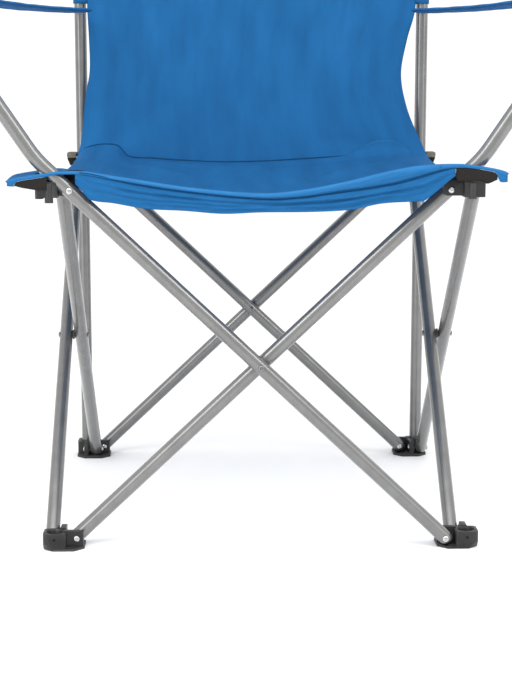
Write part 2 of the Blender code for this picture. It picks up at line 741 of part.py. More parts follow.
def body_pieces():
    """The nodes of each body. A rivet stays with the foot or the bracket, or with the outer bar."""
    pieces = {name: [name] for name in body_pivots() if not name.startswith("leg")}
    pieces["leg_rear_left"] = ["foot_rear_left", "post_left", "post_cap_left", "post_screw_left"]
    pieces["leg_rear_left"] += ["back_lower", "back_upper"]
    pieces["leg_rear_right"] = ["foot_rear_right", "post_right", "post_cap_right", "post_screw_right"]
    for corner, corner_name in enumerate(CORNER_NAMES):
        this_side, next_side = SIDE_NAMES[corner], SIDE_NAMES[(corner + 1) % 4]
        foot = f"leg_{corner_name}" if corner_name.startswith("rear") else f"foot_{corner_name}"
        pieces[foot] += [f"foot_rivet_{this_side}_outer", f"foot_rivet_{next_side}_inner"]
        bracket = f"bracket_{corner_name}"
        pieces[bracket] += [f"bracket_rivet_{this_side}_inner", f"bracket_rivet_{next_side}_outer"]
    for side_name in SIDE_NAMES:
        pieces[f"bar_{side_name}_outer"] += [f"cross_rivet_{side_name}", f"cross_spacer_{side_name}"]
    pieces["bar_front_outer"].append("arm_cap_left")
    pieces["bar_front_inner"].append("arm_cap_right")
    pieces["seat_front"].append("seat_skirt")
    pieces["bracket_front_left"].append("seat_flap_left")
    pieces["bracket_front_right"].append("seat_flap_right")
    pieces["bracket_rear_left"].append("rear_tab_left")
    pieces["bracket_rear_right"].append("rear_tab_right")
    return pieces


def hang_bodies():
    pivots, empties = body_pivots(), {}
    for body, (parent, point) in pivots.items():
        empty = bpy.data.objects.new(f"pivot_{body}", None)
        CHAIR.objects.link(empty)
        empty.empty_display_size = 0.03
        empty.location = point
        empties[body] = empty
        if parent:
            empty.parent = empties[parent]
            empty.matrix_parent_inverse = Matrix.Translation(-pivots[parent][1])
    for body, nodes in body_pieces().items():
        for node in nodes:
            obj = bpy.data.objects[node]
            obj.parent = empties[body]
            obj.matrix_parent_inverse = Matrix.Translation(-pivots[body][1])


make_bars()
make_feet_and_brackets()
make_rivets()
make_posts_and_caps()
make_seat()
make_skirt()
make_corner_flaps()
make_rear_tabs()
make_back()
make_armrests()
hang_bodies()
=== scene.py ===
"""Looks of the folding camp chair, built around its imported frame.

World axes: x across the chair, y from front to back, z up, in metres. Side 0 is the front, and sides
1, 2 and 3 (right, rear, left) are side 0 turned by quarter turns about z. Corner 0 is the front right one.
"""

import json
import math

import bmesh
import bpy
from mathutils import Matrix, Vector, noise


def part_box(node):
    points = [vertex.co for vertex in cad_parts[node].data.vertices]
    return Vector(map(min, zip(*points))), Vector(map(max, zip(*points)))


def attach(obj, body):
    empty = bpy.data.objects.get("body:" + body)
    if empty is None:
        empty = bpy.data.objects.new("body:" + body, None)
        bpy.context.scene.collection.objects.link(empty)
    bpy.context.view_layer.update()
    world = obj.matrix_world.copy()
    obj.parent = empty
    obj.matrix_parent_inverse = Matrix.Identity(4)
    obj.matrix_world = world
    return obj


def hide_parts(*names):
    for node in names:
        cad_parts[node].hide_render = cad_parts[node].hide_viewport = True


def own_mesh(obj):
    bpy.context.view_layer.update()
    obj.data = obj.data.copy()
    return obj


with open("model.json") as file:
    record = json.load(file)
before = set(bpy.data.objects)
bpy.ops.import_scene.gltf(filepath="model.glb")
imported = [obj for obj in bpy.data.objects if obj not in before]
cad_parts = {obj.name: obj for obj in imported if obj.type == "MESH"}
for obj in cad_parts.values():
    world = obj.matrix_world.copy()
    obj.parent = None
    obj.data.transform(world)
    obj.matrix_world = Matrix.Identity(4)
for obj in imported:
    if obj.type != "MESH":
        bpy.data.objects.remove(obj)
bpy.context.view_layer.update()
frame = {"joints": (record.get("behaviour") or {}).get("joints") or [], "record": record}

# -------- measures taken from the frame
JOINTS = {joint["name"]: joint for joint in frame["joints"]}
BODY_OF = {node: body for body, nodes in frame["record"]["behaviour"]["bodies"].items() for node in nodes}
SIDE_NAMES = ("front", "right", "rear", "left")
CORNER_NAMES = ("front_right", "rear_right", "rear_left", "front_left")

POST_LOW, POST_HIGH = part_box("post_right")
HALF_SPAN = (POST_LOW.x + POST_HIGH.x) / 2
TUBE_RADIUS = (POST_HIGH.x - POST_LOW.x) / 2
POST_FLOOR, POST_TOP = POST_LOW.z, POST_HIGH.z
FOLD_PIVOT = Vector(JOINTS["fold"]["pos_m"])
PIVOT, PLANE, FOOT_PIVOT_HEIGHT = abs(FOLD_PIVOT.x), FOLD_PIVOT.y, FOLD_PIVOT.z
TOP_PIVOT_HEIGHT = JOINTS["rear_left_bracket_pivot"]["pos_m"][2]
REAR_BAR_LOW, REAR_BAR_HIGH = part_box("bar_rear_outer")
BAR_OFFSET = (REAR_BAR_LOW.y + REAR_BAR_HIGH.y) / 2 - PLANE
PLANE_INSET = HALF_SPAN - PLANE
PIVOT_INSET = HALF_SPAN - PIVOT
RISE = TOP_PIVOT_HEIGHT - FOOT_PIVOT_HEIGHT
SLOPE = math.atan2(RISE, 2 * PIVOT)
BAR_LENGTH = math.hypot(RISE, 2 * PIVOT)
BAR_GAP = BAR_OFFSET - TUBE_RADIUS    # between a pair's middle plane and a bar's near side
BAR_FAR = BAR_OFFSET + TUBE_RADIUS    # and its far side

# -------- sizes repeated from the design
GAP = 0.0003                          # between pieces that touch
POST_BORE = TUBE_RADIUS + 1.5 * GAP
ARM_STRAIGHT = 0.055                  # top pivot to the middle of the arm's bend
ARM_BEND_RADIUS = 0.130
ARM_SLOPE = math.radians(56)
ARM_TOP = 0.648
SOCKET_HEIGHT = 0.0212
SOCKET_HALF_WIDTH = 0.014
BASE_THICKNESS = 0.0035
BRACKET_HALF_WIDTH = 0.013
EAR_NEAR, EAR_FAR, EAR_START, EAR_END, FOOT_EAR_END = 0.001, 0.0075, 0.011, 0.0355, 0.0340
BOSS_RADIUS = 0.0062
BOSS_FACE = GAP - BAR_GAP
HEAD_RADIUS, HEAD_HEIGHT, SHANK_RADIUS = 0.0039, 0.0016, 0.0025
RIVET_SPAN = BAR_FAR + EAR_FAR + 2 * GAP
CROSS_SPAN = 2 * (BAR_FAR + GAP)
RIVET_SHIFT = (BAR_FAR - EAR_FAR) / 2
SCREW_HEIGHT, SCREW_RADIUS = 0.0142, 0.0012
EDGE_ROUNDING = 0.0005                # of moulded plastic

SEAT_FRONT, SEAT_FOLD, SEAT_REAR = -0.2655, -0.015, 0.205
LEFT_TIP, RIGHT_TIP = 0.2990, 0.2910
SIDE_HALF_WIDTH, REAR_HALF_WIDTH = 0.256, 0.2525
WING_START, WING_BACK = 0.210, -0.2029    # the wings are the seat's front corners
BACK_BOTTOM, BACK_SEAM, BACK_TOP = 0.449, 0.668, 0.857
ARMREST_FRONT, ARMREST_REAR = -0.2579, 0.218
CLOTH, WING_CLOTH, TAPE_CLOTH = 0.0009, 0.0014, 0.0008    # thicknesses

SHARP = math.radians(35)
FULL_TURN = 2 * math.pi


def spaced(low, high, count):
    """Even positions from low to high, with count gaps between them."""
    return [low + (high - low) * number / count for number in range(count + 1)]


def level(angle):
    """A unit vector in the floor's plane."""
    return Vector((math.cos(angle), math.sin(angle), 0))


def rising(angle):
    """A unit vector in the plane of a scissor pair."""
    return Vector((math.cos(angle), 0, math.sin(angle)))


# -------- materials

def fill(tree, node, inputs):
    """Fill a node's inputs, each with another node's output or with a constant."""
    for name, value in inputs.items():
        if isinstance(value, bpy.types.NodeSocket):
            tree.links.new(value, node.inputs[name])
        else:
            node.inputs[name].default_value = value


def add_node(tree, kind, inputs=None, **settings):
    made = tree.nodes.new(kind)
    for name, value in settings.items():
        setattr(made, name, value)
    fill(tree, made, inputs or {})
    return made


def start_material(name, roughness, metallic=0.0):
    made = bpy.data.materials.new(name)
    made.use_nodes = True
    tree = made.node_tree
    shader = tree.nodes["Principled BSDF"]
    fill(tree, shader, {"Roughness": roughness, "Metallic": metallic})
    return made, tree, shader


def object_place(tree):
    return add_node(tree, "ShaderNodeTexCoord").outputs["Object"]


def noise_node(tree, vector, scale, detail=2.0, roughness=0.5):
    inputs = {"Vector": vector, "Scale": scale, "Detail": detail, "Roughness": roughness}
    return add_node(tree, "ShaderNodeTexNoise", inputs).outputs["Fac"]


def ramp(tree, value, stops):
    """A colour ramp: stops are (position, colour) pairs."""
    made = add_node(tree, "ShaderNodeValToRGB", {"Fac": value})
    elements = made.color_ramp.elements
    while len(elements) < len(stops):
        elements.new(0.5)
    for element, (position, colour) in zip(elements, stops):
        element.position = position
        element.color = (*colour, 1.0)
    return made.outputs["Color"]


def mapped(tree, value, low, high):
    inputs = {"Value": value, "To Min": low, "To Max": high}
    return add_node(tree, "ShaderNodeMapRange", inputs).outputs["Result"]


def math_node(tree, operation, first, second=0.0):
    inputs = {0: first, 1: second}
    return add_node(tree, "ShaderNodeMath", inputs, operation=operation).outputs["Value"]


def bump(tree, height, distance, strength, normal=None):
    inputs = {"Height": height, "Distance": distance, "Strength": strength}
    if normal:
        inputs["Normal"] = normal
    return add_node(tree, "ShaderNodeBump", inputs).outputs["Normal"]


def mixed_colour(tree, factor, first, second, blend_type="MIX"):
    inputs = {"Factor": factor, "A": first, "B": second}
    return add_node(tree, "ShaderNodeMix", inputs, data_type="RGBA", blend_type=blend_type).outputs["Result"]


def grey(value):
    return (value, value, value)


def powder_coat():
    """Silver-grey powder coat: faint mottling, orange peel and a few dull rubs."""
    made, tree, shader = start_material("powder_coat", 0.3, 0.5)
    place = object_place(tree)
    mottle = noise_node(tree, place, 55.0, 3.0)
    colour = ramp(tree, mottle, [(0.3, (0.130, 0.129, 0.128)), (0.7, (0.158, 0.157, 0.155))])
    rubs = noise_node(tree, place, 130.0, 4.0, 0.65)
    peel = noise_node(tree, place, 1400.0, 1.0)
    fill(tree, shader, {"Base Color": colour, "Roughness": mapped(tree, rubs, 0.20, 0.30)})
    fill(tree, shader, {"Normal": bump(tree, peel, 0.00004, 0.5)})
    fill(tree, shader, {"Coat Weight": 0.7, "Coat Roughness": 0.2, "Coat IOR": 1.7})
    return made


def black_plastic():
    """Moulded black nylon: fine grain, slightly greyer where edges are scuffed."""
    made, tree, shader = start_material("black_plastic", 0.45)
    place = object_place(tree)
    cloud = noise_node(tree, place, 90.0, 3.0)
    body = ramp(tree, cloud, [(0.3, (0.009, 0.009, 0.0095)), (0.75, (0.017, 0.017, 0.0175))])
    pointy = add_node(tree, "ShaderNodeNewGeometry").outputs["Pointiness"]
    edge = ramp(tree, pointy, [(0.52, grey(0.0)), (0.60, grey(1.0))])
    edge_wear_and_hem_highlight = mixed_colour(tree, edge, body, (0.050, 0.050, 0.052, 1.0))
    grain = bump(tree, noise_node(tree, place, 2200.0), 0.00003, 0.6)
    fill(tree, shader, {"Base Color": edge_wear_and_hem_highlight, "Roughness": mapped(tree, cloud, 0.38, 0.52)})
    fill(tree, shader, {"Normal": grain, "Specular IOR Level": 0.32})
    return made


def steel(name, dark, light):
    """Plated steel of the rivets and screws, with turning marks."""
    made, tree, shader = start_material(name, 0.22, 1.0)
    place = object_place(tree)
    smudge = noise_node(tree, place, 300.0, 3.0)
    colour = ramp(tree, smudge, [(0.3, grey(dark)), (0.7, grey(light))])
    marks = bump(tree, noise_node(tree, place, 3500.0), 0.00002, 0.4)
    fill(tree, shader, {"Base Color": colour, "Roughness": mapped(tree, smudge, 0.16, 0.30), "Normal": marks})
    return made


def woven(tree, flat, pitch):
    """Height of a plain weave: warp over weft in every other cell of the threads' grid."""
    parts = add_node(tree, "ShaderNodeSeparateXYZ", {"Vector": flat}).outputs
    threads = {}
    for axis in "XY":
        phase = math_node(tree, "MULTIPLY", parts[axis], math.pi / pitch)
        threads[axis] = math_node(tree, "ABSOLUTE", math_node(tree, "SINE", phase))
    over = add_node(tree, "ShaderNodeTexChecker", {"Vector": flat, "Scale": 1 / pitch}).outputs["Fac"]
    chosen = add_node(tree, "ShaderNodeMix", {"Factor": over, "A": threads["X"], "B": threads["Y"]})
    return chosen.outputs["Result"]


def polyester(name, dark, light, pitch=0.0006, edge_wear_and_hem_highlight=0.0):
    """Plain-woven polyester: weave, uneven threads, colour drift, a little sheen and, as strong as its last
    argument asks, a painted highlight: a paler front edge for the rolled hem, which lies below 0 in the
    cloth's flat layout."""
    made, tree, shader = start_material(name, 0.72)
    flat = add_node(tree, "ShaderNodeUVMap", uv_map="cloth").outputs["UV"]
    drift = noise_node(tree, flat, 9.0, 3.0, 0.55)
    base = ramp(tree, drift, [(0.25, dark), (0.75, light)])
    uneven = []
    for scale in ((1.0, 0.06, 1.0), (0.06, 1.0, 1.0)):
        drawn = add_node(tree, "ShaderNodeMapping", {"Vector": flat, "Scale": scale}).outputs["Vector"]
        uneven.append(noise_node(tree, drawn, 900.0))
    slubs = math_node(tree, "ADD", *uneven)
    weave = woven(tree, flat, pitch)
    # The weave's low parts are painted darker, as painted shade between the threads; the slubs add uneven
    # thread tone.
    shade = math_node(tree, "ADD", mapped(tree, weave, 0.86, 1.04), mapped(tree, slubs, -0.08, 0.04))
    tint = mixed_colour(tree, 1.0, base, shade, "MULTIPLY")
    # Painted highlight: the rolled front edge, which lies below 0 in the flat layout, is mixed towards a
    # paler blue.
    band = add_node(tree, "ShaderNodeSeparateXYZ", {"Vector": flat}).outputs["Y"]
    height = math_node(tree, "ADD", band, 1.0)
    edge = ramp(tree, height, [(0.42, grey(0.25)), (0.78, grey(1.0)), (0.995, grey(0.0))])
    hem_highlight_mask = math_node(tree, "MULTIPLY", edge, edge_wear_and_hem_highlight)
    paler = math_node(tree, "MULTIPLY", hem_highlight_mask, mapped(tree, drift, 0.3, 1.7))
    hem_highlighted = mixed_colour(tree, paler, tint, HEM_HIGHLIGHT_BLUE)
    threads = bump(tree, weave, 0.00012, 0.6)
    creases = noise_node(tree, flat, 70.0, 4.0, 0.6)
    fill(tree, shader, {"Base Color": hem_highlighted, "Roughness": mapped(tree, slubs, 0.62, 0.80)})
    fill(tree, shader, {"Normal": bump(tree, creases, 0.0006, 0.25, threads), "Specular IOR Level": 0.08})
    fill(tree, shader, {"Sheen Weight": 0.02, "Sheen Roughness": 0.4, "Sheen Tint": (0.25, 0.55, 1.0, 1.0)})
    return made


def ribbed_webbing(name, dark, light):
    """Heavy woven tape: raised ribs across it and frayed, paler threads."""
    made, tree, shader = start_material(name, 0.8)
    place = object_place(tree)
    colour = ramp(tree, noise_node(tree, place, 900.0, 4.0, 0.7), [(0.3, dark), (0.7, light)])
    wave = {"Vector": place, "Scale": 160.0, "Distortion": 1.5}
    ribs = add_node(tree, "ShaderNodeTexWave", wave, bands_direction="DIAGONAL").outputs["Fac"]
    fill(tree, shader, {"Base Color": colour, "Normal": bump(tree, ribs, 0.0003, 0.7)})
    fill(tree, shader, {"Sheen Weight": 0.04, "Specular IOR Level": 0.2})
    return made


BLUE_DARK, BLUE_LIGHT = (0.0090, 0.079, 0.212), (0.0125, 0.110, 0.286)
# Paler blue of the painted highlight on the seat's rolled front edge.
HEM_HIGHLIGHT_BLUE = (0.050, 0.235, 0.520, 1.0)
POWDER_COAT = powder_coat()
BLACK_PLASTIC = black_plastic()
STEEL = steel("rivet_steel", 0.40, 0.62)
DARK_STEEL = steel("dark_rivet_steel", 0.16, 0.24)
BLUE = polyester("blue_polyester", BLUE_DARK, BLUE_LIGHT)
# The seat's front pieces, with the painted highlight along their rolled front edge.
BLUE_WITH_HEM_HIGHLIGHT = polyester("blue_polyester_hem_highlight", BLUE_DARK, BLUE_LIGHT, edge_wear_and_hem_highlight=0.4)
# Dark blue of the seam cords: painted shade in the creases along the seams.
SEAM_SHADE_BLUE = polyester("blue_seam_shade", (0.0030, 0.034, 0.100), (0.0050, 0.052, 0.150), 0.0003)
WEBBING = ribbed_webbing("black_webbing", (0.004, 0.0035, 0.003), (0.018, 0.015, 0.013))
TAPE = ribbed_webbing("grey_tape", (0.020, 0.018, 0.014), (0.26, 0.235, 0.19))


# -------- solids

def from_bmesh(name, cage):
    mesh = bpy.data.meshes.new(name)
    cage.normal_update()
    cage.to_mesh(mesh)
    cage.free()
    return mesh


def opened(mesh):
    cage = bmesh.new()
    cage.from_mesh(mesh)
    return cage


def shaded(mesh, angle=SHARP):
    mesh.shade_smooth()
    mesh.set_sharp_from_angle(angle=angle)
    return mesh


def linked(name, data):
    obj = bpy.data.objects.new(name, data)
    bpy.context.scene.collection.objects.link(obj)
    return obj


def evaluated(obj, name):
    graph = bpy.context.evaluated_depsgraph_get()
    mesh = bpy.data.meshes.new_from_object(obj.evaluated_get(graph))
    mesh.name = name
    bpy.data.objects.remove(obj)
    return mesh


def rounded_edges(mesh, width=EDGE_ROUNDING):
    """The mesh with its sharp edges rounded and its faces shaded to match."""
    cage = opened(mesh)
    bmesh.ops.remove_doubles(cage, verts=cage.verts, dist=0.00001)
    bmesh.ops.dissolve_limit(cage, angle_limit=math.radians(0.5), verts=cage.verts, edges=cage.edges)
    body = linked(mesh.name, from_bmesh(mesh.name, cage))
    bevel = body.modifiers.new("rounded", "BEVEL")
    bevel.width = width
    bevel.segments = 2
    bevel.limit_method = "ANGLE"
    bevel.angle_limit = math.radians(40)
    bevel.miter_outer = "MITER_ARC"
    return shaded(evaluated(body, mesh.name))


def combined(name, base, joined=(), cut=()):
    """One mesh from the base with some shapes joined on and then others cut away."""
    body = linked(name, base)
    tools = []
    for operation, shapes in (("UNION", joined), ("DIFFERENCE", cut)):
        for shape in shapes:
            tool = linked("tool", shape)
            tools.append(tool)
            boolean = body.modifiers.new(operation.lower(), "BOOLEAN")
            boolean.operation = operation
            boolean.solver = "EXACT"
            boolean.object = tool
    mesh = evaluated(body, name)
    for tool in tools:
        bpy.data.objects.remove(tool)
    return mesh


def block(first, second, rounded=None, radius=0.0, segments=6):
    """A box between two opposite corners. rounded(direction, middle) picks the edges that are rounded."""
    low, high = tuple(map(min, first, second)), tuple(map(max, first, second))
    cage = bmesh.new()
    bmesh.ops.create_cube(cage, size=1.0)
    for vertex in cage.verts:
        vertex.co = [low[axis] if vertex.co[axis] < 0 else high[axis] for axis in range(3)]
    if rounded:
        chosen = []
        for edge in cage.edges:
            start, end = (vertex.co for vertex in edge.verts)
            direction = max(range(3), key=lambda axis: abs(end[axis] - start[axis]))
            if rounded("xyz"[direction], (start + end) / 2):
                chosen.append(edge)
        bmesh.ops.bevel(cage, geom=chosen, offset=radius, segments=segments, profile=0.5, affect="EDGES")
    return from_bmesh("block", cage)


def rod(start, end, radius, end_radius=None, sides=32):
    start, end = Vector(start), Vector(end)
    run = end - start
    turn = run.to_track_quat("Z", "Y").to_matrix().to_4x4()
    cage = bmesh.new()
    place = Matrix.Translation((start + end) / 2) @ turn
    bmesh.ops.create_cone(cage, cap_ends=True, segments=sides, radius1=radius, radius2=end_radius or radius,
                          depth=run.length, matrix=place)
    return from_bmesh("rod", cage)


def turned(name, profile, steps=28):
    """A turned solid about z: the profile's (radius, height) points run down its outer side."""
    cage = bmesh.new()
    outline = [cage.verts.new((radius, 0, height)) for radius, height in profile]
    for pair in zip(outline, outline[1:]):
        cage.edges.new(pair)
    if profile[0][0] > 0:
        cage.edges.new((outline[-1], outline[0]))
    obj = linked(name, from_bmesh(name, cage))
    screw = obj.modifiers.new("turn", "SCREW")
    screw.steps = steps
    screw.render_steps = steps
    screw.use_merge_vertices = True
    screw.merge_threshold = 0.00001
    return shaded(evaluated(obj, name))


def tube(name, points, scales=None):
    """A closed tube along the points, each with its own share of the radius."""
    curve = bpy.data.curves.new(name, "CURVE")
    curve.dimensions = "3D"
    curve.bevel_depth = TUBE_RADIUS
    curve.bevel_resolution = 14
    curve.use_fill_caps = True
    spline = curve.splines.new("POLY")
    spline.points.add(len(points) - 1)
    for number, point in enumerate(points):
        spline.points[number].co = (*point, 1.0)
        spline.points[number].radius = scales[number] if scales else 1.0
    cage = opened(evaluated(linked(name, curve), name))
    bmesh.ops.remove_doubles(cage, verts=cage.verts, dist=0.000001)
    bmesh.ops.recalc_face_normals(cage, faces=cage.faces)
    return shaded(from_bmesh(name, cage))


def side_frame(side):
    return Matrix.Rotation(math.radians(90 * side), 4, "Z")


def corner_frame(corner):
    return side_frame(corner) @ Matrix.Translation((HALF_SPAN, -HALF_SPAN, 0))


def stand_for(node, mesh, finish, matrix):
    """A finer piece in the place of a CAD node, riding on the node's body."""
    obj = linked(f"{node}_piece", mesh)
    if not mesh.materials:
        mesh.materials.append(finish)
    obj.matrix_world = matrix
    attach(obj, BODY_OF[node])
    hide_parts(node)
    return obj


# -------- scissor bars and posts

def along_bar(distance):
    return rising(SLOPE) * distance


def arm_path():
    """From the top pivot to the arm's end: straight, a bend, and straight at ARM_SLOPE."""
    bend = ARM_SLOPE - SLOPE
    start = BAR_LENGTH + ARM_STRAIGHT - ARM_BEND_RADIUS * math.tan(bend / 2)
    points = [along_bar(start)]
    steps = 14
    chord = 2 * ARM_BEND_RADIUS * math.sin(bend / steps / 2)
    for step in range(steps):
        angle = SLOPE + bend * (step + 0.5) / steps
        points.append(points[-1] + rising(angle) * chord)
    left = (ARM_TOP - FOOT_PIVOT_HEIGHT - points[-1].z) / math.sin(ARM_SLOPE)
    points.append(points[-1] + rising(ARM_SLOPE) * left)
    return points


def bar_mesh(name, with_arm):
    """A bar from its foot pivot at the origin, with a round closed end there."""
    turns = [math.radians(angle) for angle in (84, 72, 60, 48, 36, 24, 12)]
    points = [along_bar(-TUBE_RADIUS * math.sin(turn)) for turn in turns] + [along_bar(0)]
    scales = [math.cos(turn) for turn in turns] + [1.0]
    if with_arm:
        points += arm_path()
        scales += [1.0] * len(arm_path())
    else:
        points.append(along_bar(BAR_LENGTH))
        points += [along_bar(BAR_LENGTH + TUBE_RADIUS * math.sin(turn)) for turn in reversed(turns)]
        scales += [1.0] + scales[len(turns) - 1::-1]
    return tube(name, points, scales)


def bar_matrix(side, outer):
    if outer:
        start = Matrix.Translation((PIVOT, -(PLANE + BAR_OFFSET), FOOT_PIVOT_HEIGHT))
        return side_frame(side) @ start @ Matrix.Rotation(math.pi, 4, "Z")
    return side_frame(side) @ Matrix.Translation((-PIVOT, -(PLANE - BAR_OFFSET), FOOT_PIVOT_HEIGHT))


def make_bars():
    plain = bar_mesh("plain_bar", with_arm=False)
    armed = bar_mesh("arm_bar", with_arm=True)
    for side, side_name in enumerate(SIDE_NAMES):
        mesh = armed if side_name == "front" else plain
        for outer in (True, False):
            node = f"bar_{side_name}_{'outer' if outer else 'inner'}"
            stand_for(node, mesh, POWDER_COAT, bar_matrix(side, outer))


def cap_mesh():
    """A plastic cup over the end of a tube that ends at the origin and points up."""
    bore, wall, skirt, crown = TUBE_RADIUS + GAP, 0.0012, 0.011, 0.003
    outer = bore + wall
    dome = [(0, crown)]
    for step in range(1, 8):
        angle = math.radians(step * 90 / 7)
        shoulder = outer - crown * (1 - math.sin(angle))
        dome.append((shoulder if step > 1 else outer * 0.5, crown * math.cos(angle) * 0.9))
    rim = [(outer, -skirt + 0.0004), (outer - 0.0004, -skirt), (bore, -skirt), (bore, GAP), (0, GAP)]
    return turned("tube_cap", dome + rim, 40)


def make_posts():
    post = tube("post", [Vector((0, 0, POST_FLOOR)), Vector((0, 0, POST_TOP))])
    cap = cap_mesh()
    for corner in (1, 2):
        side_name = CORNER_NAMES[corner].split("_")[1]
        place = corner_frame(corner)
        stand_for(f"post_{side_name}", post, POWDER_COAT, place)
        top = place @ Matrix.Translation((0, 0, POST_TOP))
        stand_for(f"post_cap_{side_name}", cap, BLACK_PLASTIC, top)
        lying = Matrix.Translation((0, 0, SCREW_HEIGHT)) @ Matrix.Rotation(math.pi / 2, 4, "X")
        stand_for(f"post_screw_{side_name}", screw_mesh(), STEEL, place @ lying)
    lean = Matrix.Translation(arm_path()[-1]) @ Matrix.Rotation(math.pi / 2 - ARM_SLOPE, 4, "Y")
    stand_for("arm_cap_left", cap, BLACK_PLASTIC, bar_matrix(0, True) @ lean)
    stand_for("arm_cap_right", cap, BLACK_PLASTIC, bar_matrix(0, False) @ lean)


# -------- rivets, spacers and screws

# A set head, from its dimple out to its rim, in shares of its radius and its height.
HEAD_SHAPE = ((0, 0.625), (0.26, 0.7), (0.36, 1), (0.60, 0.93), (0.82, 0.68), (0.95, 0.36), (1, 0.12), (1, 0))


def rivet_mesh(name, span):
    """A pin with a set head at each end."""
    upper = [(HEAD_RADIUS * out, span / 2 + HEAD_HEIGHT * up) for out, up in HEAD_SHAPE]
    upper.append((SHANK_RADIUS, span / 2))
    return turned(name, upper + [(radius, -height) for radius, height in reversed(upper)])


def spacer_mesh():
    half, bore, outer, soft = BAR_GAP - GAP, 0.0029, 0.0065, 0.0004
    ring = [(outer - soft, half), (outer, half - soft), (outer, soft - half), (outer - soft, -half)]
    return turned("spacer", ring + [(bore, -half), (bore, half)])


def screw_mesh():
    """A pan-head screw with a cross recess."""
    face, tip, radius = SOCKET_HALF_WIDTH + GAP, 0.005, 0.0026
    profile = [(0, face + 0.0013), (radius * 0.7, face + 0.0012), (radius, face + 0.0006), (radius, face)]
    profile += [(SCREW_RADIUS, face), (SCREW_RADIUS, tip + SCREW_RADIUS), (0, tip)]
    body = turned("post_screw", profile)
    arm, slit, depth = 0.0014, 0.00025, 0.0007
    first = block((-arm, -slit, face + depth), (arm, slit, face + 0.002))
    second = block((-slit, -arm, face + depth), (slit, arm, face + 0.002))
    return combined("post_screw", body, cut=[first, second])


def across_side(side, x, y, z):
    return side_frame(side) @ Matrix.Translation((x, y, z)) @ Matrix.Rotation(math.pi / 2, 4, "X")


def make_rivets():
    end_rivet = rivet_mesh("end_rivet", RIVET_SPAN)
    cross_rivet = rivet_mesh("cross_rivet", CROSS_SPAN)
    spacer = spacer_mesh()
    middle = FOOT_PIVOT_HEIGHT + RISE / 2
    outer_y, inner_y = -(PLANE + RIVET_SHIFT), -(PLANE - RIVET_SHIFT)
    for side, side_name in enumerate(SIDE_NAMES):
        crossing = across_side(side, 0, -PLANE, middle)
        stand_for(f"cross_rivet_{side_name}", cross_rivet, DARK_STEEL, crossing)
        stand_for(f"cross_spacer_{side_name}", spacer, BLACK_PLASTIC, crossing)
        ends = (
            ("foot_rivet", "outer", PIVOT, outer_y, FOOT_PIVOT_HEIGHT),
            ("foot_rivet", "inner", -PIVOT, inner_y, FOOT_PIVOT_HEIGHT),
            ("bracket_rivet", "outer", -PIVOT, outer_y, TOP_PIVOT_HEIGHT),
            ("bracket_rivet", "inner", PIVOT, inner_y, TOP_PIVOT_HEIGHT),
        )
        for kind, bar, x, y, z in ends:
            stand_for(f"{kind}_{side_name}_{bar}", end_rivet, STEEL, across_side(side, x, y, z))


# -------- feet and brackets

def beside(second_side, along, offset, height):
    """A point in the corner's frame: along one of its sides from the post, off that pair's middle plane."""
    if second_side:
        return Vector((offset - PLANE_INSET, along, height))
    return Vector((-along, PLANE_INSET - offset, height))


def ear(second_side, bar_inside, low, high, end, radius, round_bottom):
    """An ear's plate and its boss, in the corner's frame."""
    sign = 1 if bar_inside else -1
    axis = 1 if second_side else 0
    height = FOOT_PIVOT_HEIGHT if low < TOP_PIVOT_HEIGHT / 2 else TOP_PIVOT_HEIGHT
    start = beside(second_side, EAR_START, sign * EAR_NEAR, low)
    tip = beside(second_side, end, sign * EAR_FAR, high)

    def at_tip(direction, middle):
        if direction != "yx"[axis] or abs(middle[axis] - tip[axis]) > GAP:
            return False
        return round_bottom or middle.z > (low + high) / 2

    knob = [beside(second_side, PIVOT_INSET, sign * face, height) for face in (BOSS_FACE, EAR_NEAR + 0.001)]
    return block(start, tip, at_tip, radius), rod(*knob, BOSS_RADIUS)


def upright(direction, _middle):
    return direction == "z"


def foot_mesh():
    """An octagonal base, a round-mouthed square socket, two ears and the webs that brace them."""
    inner, half, sunk = -0.0352, SOCKET_HALF_WIDTH, 0.001
    plate = block((inner, -half, 0), (half, -inner, BASE_THICKNESS), upright, 0.012, 1)
    socket = block((-half, -half, sunk), (half, half, SOCKET_HEIGHT), upright, 0.0045)
    ear_top = 0.0226
    first = ear(False, False, sunk, ear_top, FOOT_EAR_END, 0.006, round_bottom=False)
    second = ear(True, True, sunk, ear_top, FOOT_EAR_END, 0.006, round_bottom=False)
    step = BASE_THICKNESS + 0.0012
    low_step = block((-0.0330, -0.0115, sunk), (0.0115, 0.0330, step), upright, 0.0115, 1)
    bore = rod((0, 0, POST_FLOOR - GAP), (0, 0, SOCKET_HEIGHT + sunk), POST_BORE, sides=48)
    mouth = rod((0, 0, SOCKET_HEIGHT - 0.0022), (0, 0, SOCKET_HEIGHT + GAP), POST_BORE, 0.0108, sides=48)
    middle = Vector((0, 0, SCREW_HEIGHT))
    front_hole = rod(middle - Vector((0, half + sunk, 0)), middle, SCREW_RADIUS + GAP, sides=20)
    side_hole = rod(middle, middle + Vector((half + sunk, 0, 0)), SCREW_RADIUS + GAP, sides=20)
    cuts = [bore, mouth, front_hole, side_hole, corner_wedge()]
    body = combined("foot", plate, [low_step, socket, *first, *second], cuts)
    room = [bar_room(second_side=False, sign=1), bar_room(second_side=True, sign=-1)]
    return rounded_edges(combined("foot", body, cut=room))


def corner_wedge():
    """A block that slants away the outer lower corner of a foot."""
    size, out, lean = 0.030, 0.0113, math.radians(34)
    mesh = block((0, -size, -size), (size, size, size))
    outward = Vector((1, -1, 0)).normalized() * out
    turn = Matrix.Rotation(math.radians(-45), 4, "Z") @ Matrix.Rotation(lean, 4, "Y")
    mesh.transform(Matrix.Translation(outward) @ turn)
    return mesh


